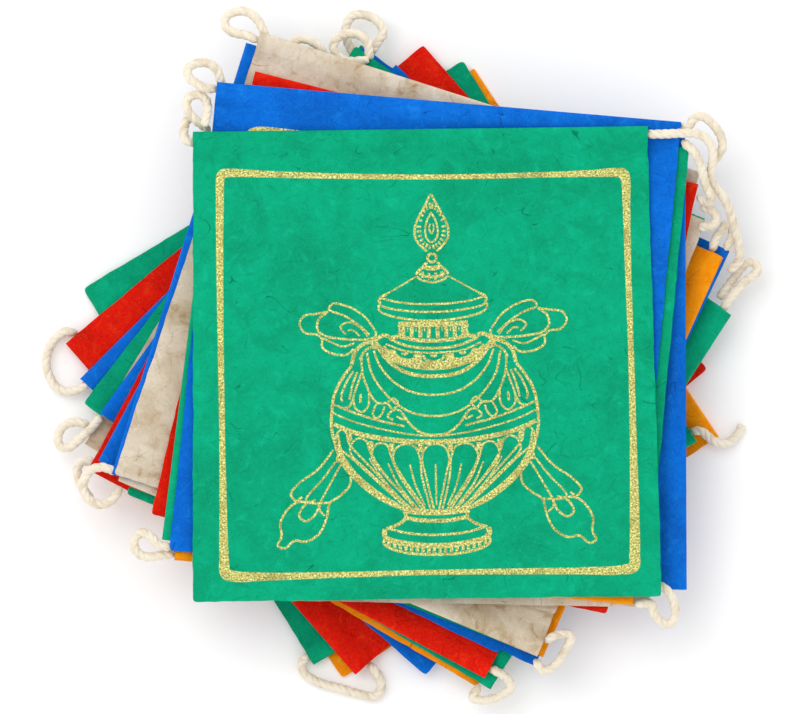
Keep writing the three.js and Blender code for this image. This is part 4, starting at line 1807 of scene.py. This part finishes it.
    def foot(self) -> list[Stroke]:
        """Draw the stem and the foot.

        Returns:
            The strokes of one half, or of both where they are not mirrored.
        """
        strokes = [
            Stroke(((16.0, -45.4), (8.0, -46.4), (0, -46.8)), 3.4),
            Stroke(((15.4, -46.0), (14.6, -48.8), (18.0, -52.0), (24.2, -54.2)), 1.9),
            Stroke(((15.4, -49.0), (7.5, -50.4), (0, -50.8)), 2.3),
            Stroke(((24.4, -53.6), (14.0, -56.4), (0, -57.4)), 1.4),
            Stroke(((24.4, -54.0), (25.0, -56.2), (24.0, -58.6), (13.0, -61.6), (0, -62.6)), 3.0),
            Stroke(((24.0, -58.2), (25.4, -60.6), (23.2, -63.0), (13.0, -66.0), (0, -66.8)), 1.6),
        ]
        for k in range(9):
            u = 1.35 + 2.7 * k
            drop = 0.0065 * u * u
            strokes.append(Stroke(((u, -62.8 + drop), (u, -66.4 + drop)), 1.9, straight=True))
        return strokes

    def bows(self) -> list[Stroke]:
        """Draw the two tied bows.

        Returns:
            The strokes of one half, or of both where they are not mirrored.
        """
        return [
            Stroke(((20.6, 37.2), (23.6, 38.0), (26.4, 36.6), (28.6, 33.8), (27.0, 31.6)), 2.3),
            Stroke(((24.8, 31.6), (28.6, 34.8), (34.0, 33.6), (37.4, 30.2), (39.2, 24.0)), 2.2),
            Stroke(((26.4, 31.4), (29.6, 32.4), (32.8, 30.6), (35.4, 26.4)), 1.4),
            Stroke(((27.6, 40.2), (32.2, 46.6), (39.0, 51.4), (47.6, 53.4), (49.4, 50.8), (42.2, 47.6),
                    (35.4, 43.0), (30.2, 38.2)), 1.2),
            Stroke(((27.4, 40.4), (27.6, 37.4), (31.8, 36.2), (38.0, 36.2), (45.0, 36.8), (51.6, 38.2),
                    (55.0, 41.2), (54.4, 46.2), (50.0, 49.6)), 1.3),
            Stroke(((31.0, 37.4), (35.0, 42.2), (40.6, 44.4), (44.2, 42.2), (41.4, 38.6)), 1.1),
            Stroke(((34.8, 37.6), (38.2, 40.6), (41.0, 40.6)), 1.0),
            Stroke(((49.4, 49.8), (55.4, 48.8), (61.4, 47.8), (63.6, 44.0), (61.0, 39.8), (55.2, 38.8),
                    (52.4, 36.2)), 1.2),
            Stroke(((52.8, 37.6), (52.8, 32.6), (47.8, 29.6), (41.0, 29.2), (37.8, 32.0)), 1.3),
            Stroke(((37.4, 34.6), (43.2, 33.0), (48.8, 35.2), (52.6, 37.2)), 1.1),
        ]

    def ribbons(self) -> list[Stroke]:
        """Draw the ribbons that hang from behind the bowl.

        Returns:
            The strokes of one half, or of both where they are not mirrored.
        """
        return [
            Stroke(((48.4, -16.0), (55.8, -25.0), (65.2, -31.8), (69.2, -36.8), (66.8, -40.0), (63.6, -38.0))),
            Stroke(((46.0, -19.6), (53.6, -29.6), (62.0, -39.4), (61.2, -41.4)), 1.1),
            Stroke(((44.4, -22.0), (50.0, -31.6), (55.4, -41.2)), 1.1),
            Stroke(((46.8, -22.4), (46.0, -19.0), (43.0, -23.4)), 2.2),
            Stroke(((55.4, -41.0), (57.8, -46.8), (62.6, -49.8), (65.4, -47.2), (62.2, -41.6), (57.2, -39.8))),
            Stroke(((40.4, -28.4), (41.2, -33.4), (46.0, -38.2), (50.6, -41.4), (52.4, -48.6), (56.2, -56.0),
                    (62.6, -59.6), (67.8, -59.0), (72.6, -62.6), (75.8, -61.2), (74.0, -56.8), (74.4, -50.4),
                    (70.4, -43.6), (65.6, -40.6), (58.0, -41.4), (50.6, -41.2)), 1.3),
            Stroke(((53.0, -47.6), (55.6, -44.6), (55.4, -41.4)), 1.1),
        ]


@dataclass(frozen=True)
class GoldPrint:
    """Strokes of gold ink, laid on a finished sheet. weight scales all their widths."""

    name: str
    finish: GoldFinish
    origin: tuple[float, float]
    turn: float
    step: float = 0.5 * MM
    proud: float = 0.03 * MM
    layer: float = 0.004 * MM
    sunk: float = 0.1 * MM
    weight: float = 0.9
    ragged: float = 0.34
    ragged_length: float = 1.1 * MM

    def to_frame(self, u: float, v: float) -> tuple[float, float]:
        """Turn a place on the print into one seen from above.

        Args:
            u: How far right of the print's origin, in millimetres.
            v: How far up from it.

        Returns:
            The place, in metres.
        """
        cosine, sine = math.cos(self.turn), math.sin(self.turn)
        x, y = u * cosine - v * sine, u * sine + v * cosine
        return self.origin[0] + x * MM, self.origin[1] + y * MM

    def line(self, stroke: Stroke) -> list[Vector]:
        """Run a stroke's middle line.

        Args:
            stroke: The stroke.

        Returns:
            Its evenly spaced points.
        """
        spots = [Vector((*self.to_frame(u, v), 0.0)) for u, v in stroke.points]
        if stroke.closed:
            spots.append(spots[0].copy())
        if stroke.straight or len(spots) == 2:
            return evenly(spots, self.step)
        return smooth_route([tuple(p) for p in spots], self.step)

    def add(self, maker: MeshMaker, sheet: BVHTree, stroke: Stroke, number: int) -> None:
        """Lay one stroke on the sheet.

        Args:
            maker: The mesh that it goes into.
            sheet: The finished sheet.
            stroke: The stroke.
            number: Its number, which sets its own small height.
        """
        line = self.line(stroke)
        last = len(line) - 1
        proud = self.proud + self.layer * (number % 9)
        rings = []
        for i, spot in enumerate(line):
            ahead = line[min(i + 1, last)] - line[max(i - 1, 0)]
            if stroke.closed and i in (0, last):
                ahead = line[1] - line[last - 1]
            left = Vector((-ahead.y, ahead.x, 0.0)).normalized()
            width = self.weight * stroke.width_at(i / last) * MM
            spots, places = [], []
            for side, height in ((-0.5, -self.sunk), (-0.43, proud), (0.43, proud), (0.5, -self.sunk)):
                rough = self.ragged * MM * wave((spot.x + side, spot.y), self.ragged_length, 8)
                point = spot + left * (side * (width + rough))
                is_end = i in (0, last) and not stroke.closed
                hit = sheet.ray_cast(point + UP, DOWN)[0]
                level = hit.z if hit else 0.0
                spots.append((point.x, point.y, level + (-self.sunk if is_end else height)))
                places.append((point.x, point.y))
            first = maker.add_points(spots, places)
            rings.append(list(range(first, first + 4)))
        for near, far in zip(rings, rings[1:]):
            maker.add_band(far, near)

    def build(self, sheet: bpy.types.Object, strokes: Sequence[Stroke]) -> bpy.types.Object:
        """Lay all the strokes on a sheet and dress them.

        Args:
            sheet: The flag's finished sheet.
            strokes: What to print.

        Returns:
            The print's object.
        """
        tree = node_tree_of([sheet])
        maker = MeshMaker()
        for number, stroke in enumerate(strokes):
            self.add(maker, tree, stroke, number)
        piece = maker.build(self.name, self.finish.material(), 25.0)
        return piece


BORDER = Stroke(
    (
        (-102.3, 110.8), (-101.2, 114.2), (-97.8, 114.8), (-80.0, 114.2), (-50.0, 113.4), (0.0, 112.9),
        (50.0, 113.9), (75.0, 114.6), (86.5, 115.0), (89.8, 114.3), (90.9, 110.6), (91.2, 100.0),
        (92.0, 70.0), (93.4, 30.0), (94.4, -10.0), (95.1, -45.0), (95.2, -66.0), (94.6, -72.6),
        (88.0, -74.2), (66.0, -74.6), (0.0, -75.3), (-50.0, -76.6), (-80.0, -77.3), (-95.0, -77.2),
        (-99.4, -75.8), (-100.3, -68.0), (-100.6, -50.0), (-101.2, -10.0), (-102.0, 40.0), (-102.4, 80.0),
    ),
    mirrored=False,
    closed=True,
    widths=(
        4.4, 5.0, 4.4, 3.5, 2.9, 2.6, 2.8, 3.6, 4.9, 5.6, 4.9, 4.0, 3.3, 3.0, 3.6, 5.0, 5.6, 6.0, 4.8, 3.6,
        2.6, 3.1, 4.2, 5.8, 6.0, 5.0, 4.0, 3.0, 3.2, 3.8,
    ),
)
LOWER_BORDER = Stroke(
    (
        (-70.5, 84.0), (-70.8, 96.0), (-70.6, 104.4), (-69.6, 107.4), (-66.6, 108.6), (-50.0, 107.2),
        (-20.0, 103.6),
    ),
    5.4,
    mirrored=False,
)


# The studio


@dataclass(frozen=True)
class Studio:
    """A pale floor, soft light from the upper left and a camera straight above."""

    floor_side: float = 8.0
    surround: float = 0.96
    lamp_size: float = 1.6
    lamp_power: float = 17.0
    lamp_place: Point = (-0.75, 0.85, 2.1)
    camera_place: Point = (0.0011, 0.0014, 5.0)
    lens: float = 468.0

    def floor(self) -> None:
        """Lay the floor."""
        material = bpy.data.materials.new("studio_floor")
        material.use_nodes = True
        surface = material.node_tree.nodes["Principled BSDF"]
        surface.inputs["Base Color"].default_value = (1.0, 1.0, 1.0, 1.0)
        surface.inputs["Roughness"].default_value = 0.9
        surface.inputs["Specular IOR Level"].default_value = 0.1
        half = self.floor_side / 2
        mesh = bpy.data.meshes.new("studio_floor")
        corners = [(-half, -half, 0.0), (half, -half, 0.0), (half, half, 0.0), (-half, half, 0.0)]
        mesh.from_pydata(corners, [], [(0, 1, 2, 3)])
        mesh.materials.append(material)
        floor = bpy.data.objects.new("studio_floor", mesh)
        bpy.context.scene.collection.objects.link(floor)

    def light(self) -> None:
        """Light the object: an even white surround and a large soft lamp."""
        world = bpy.data.worlds.new("studio")
        bpy.context.scene.world = world
        world.use_nodes = True
        background = world.node_tree.nodes["Background"]
        background.inputs["Color"].default_value = (1.0, 1.0, 1.0, 1.0)
        background.inputs["Strength"].default_value = self.surround
        lamp = bpy.data.lights.new("soft_lamp", "AREA")
        lamp.size = self.lamp_size
        lamp.energy = self.lamp_power
        soft = bpy.data.objects.new("soft_lamp", lamp)
        soft.location = self.lamp_place
        soft.rotation_euler = (Vector((0.0, 0.0, 0.0)) - soft.location).to_track_quat("-Z", "Y").to_euler()
        bpy.context.scene.collection.objects.link(soft)

    def camera(self) -> None:
        """Set the camera at the photo's viewing angle."""
        data = bpy.data.cameras.new("camera")
        data.lens = self.lens
        data.clip_end = 40.0
        camera = bpy.data.objects.new("camera", data)
        camera.location = self.camera_place
        bpy.context.scene.collection.objects.link(camera)
        bpy.context.scene.camera = camera

    def build(self) -> None:
        """Set up the studio."""
        self.floor()
        self.light()
        self.camera()
        bpy.context.scene.view_settings.view_transform = "Standard"


# The whole garland


def gold_on(paper: PaperFinish) -> GoldFinish:
    """Give the gold ink as it looks on one dye of the paper."""
    # The palest of these colours paints glints into the ink's grains.
    return GoldFinish("gold_print", paper, gold=linear(196, 186, 90), bright=linear(240, 242, 160),
                      dull=linear(116, 100, 24))



class Garland:
    """The folded garland: its flags, its cord and its print."""

    NEAR_CORNER = 12 * MM
    NEAR_TOP = 5 * MM
    OPEN_MOUTH = 2.9 * MM
    TOP_CELL = 2.0 * MM
    TOP_COCKLE = 0.34 * MM
    LOWER_COCKLE = 0.12 * MM
    PRINT_ORIGIN = (17.66 * MM, -25.8 * MM)
    VASE_TURN = math.radians(1.05)

    def __init__(self, frame: dict) -> None:
        """Read the frame.
        """
        self.nodes: dict[str, bpy.types.Object] = frame["nodes"]
        self.solids = [FlagSolid(self.nodes[name]) for name in sorted(self.nodes) if name.startswith("flag_")]
        self.everything = node_tree_of(self.nodes.values())
        self.sheets: list[bpy.types.Object] = []

    def mouths(self, solid: FlagSolid) -> tuple[float, float]:
        """Find the ends of a flag's hem where the cord comes out.

        Args:
            solid: The flag.

        Returns:
            How much higher the hem stands at its two ends, in metres.
        """
        heights = []
        for corner in solid.corners[:2]:
            extra = 0.0
            for run in CORD_RUNS:
                for style, end in ((run.start, run.route[0]), (run.end, run.route[-1])):
                    near = math.hypot(end[0] - corner[0], end[1] - corner[1]) < self.NEAR_CORNER
                    level = abs(end[2] - solid.height(corner, DOWN)) < self.NEAR_TOP
                    if style is CordEnd.HEM and near and level:
                        extra = self.OPEN_MOUTH
            heights.append(extra)
        return heights[0], heights[1]

    def add_flags(self) -> None:
        """Build the flags from the lowest up."""
        for number, solid in reversed(list(enumerate(self.solids, start=1))):
            heights = HeightField(solid, self.everything)
            sizes = SheetSizes(cell=self.TOP_CELL) if number == 1 else SheetSizes()
            cockle = self.TOP_COCKLE if number == 1 else self.LOWER_COCKLE
            flag = Flag(solid, heights, number, sizes, cockle, self.mouths(solid))
            piece = flag.build()
            self.sheets.append(piece)
            LOG.info("%s: %d points", piece.name, len(piece.data.vertices))

    def add_cord(self) -> None:
        """Build the visible stretches of the cord."""
        for number, run in enumerate(CORD_RUNS):
            piece = TwistedCord(run, number).build()
            LOG.info("%s: %d points", piece.name, len(piece.data.vertices))

    def add_print(self) -> None:
        """Print the vase and its border on the top flag, and the corner that shows on the next."""
        on_green, on_blue = gold_on(Dye.GREEN.value), gold_on(Dye.BLUE.value)
        vase = GoldPrint("print_vase", on_green, self.PRINT_ORIGIN, self.VASE_TURN)
        vase.build(self.sheets[-1], TreasureVase().strokes())
        border = GoldPrint("print_border", on_green, self.PRINT_ORIGIN, 0.0, weight=1.0)
        border.build(self.sheets[-1], [BORDER])
        lower = GoldPrint("print_border_below", on_blue, (0.0, 0.0), 0.0, weight=1.0)
        lower.build(self.sheets[-2], [LOWER_BORDER])


def main() -> None:
    """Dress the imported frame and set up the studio."""
    logging.basicConfig(level=logging.INFO, format="%(message)s")
    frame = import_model()
    garland = Garland(frame)
    garland.add_flags()
    garland.add_cord()
    garland.add_print()
    Studio().build()


if __name__ == "__main__":
    main()
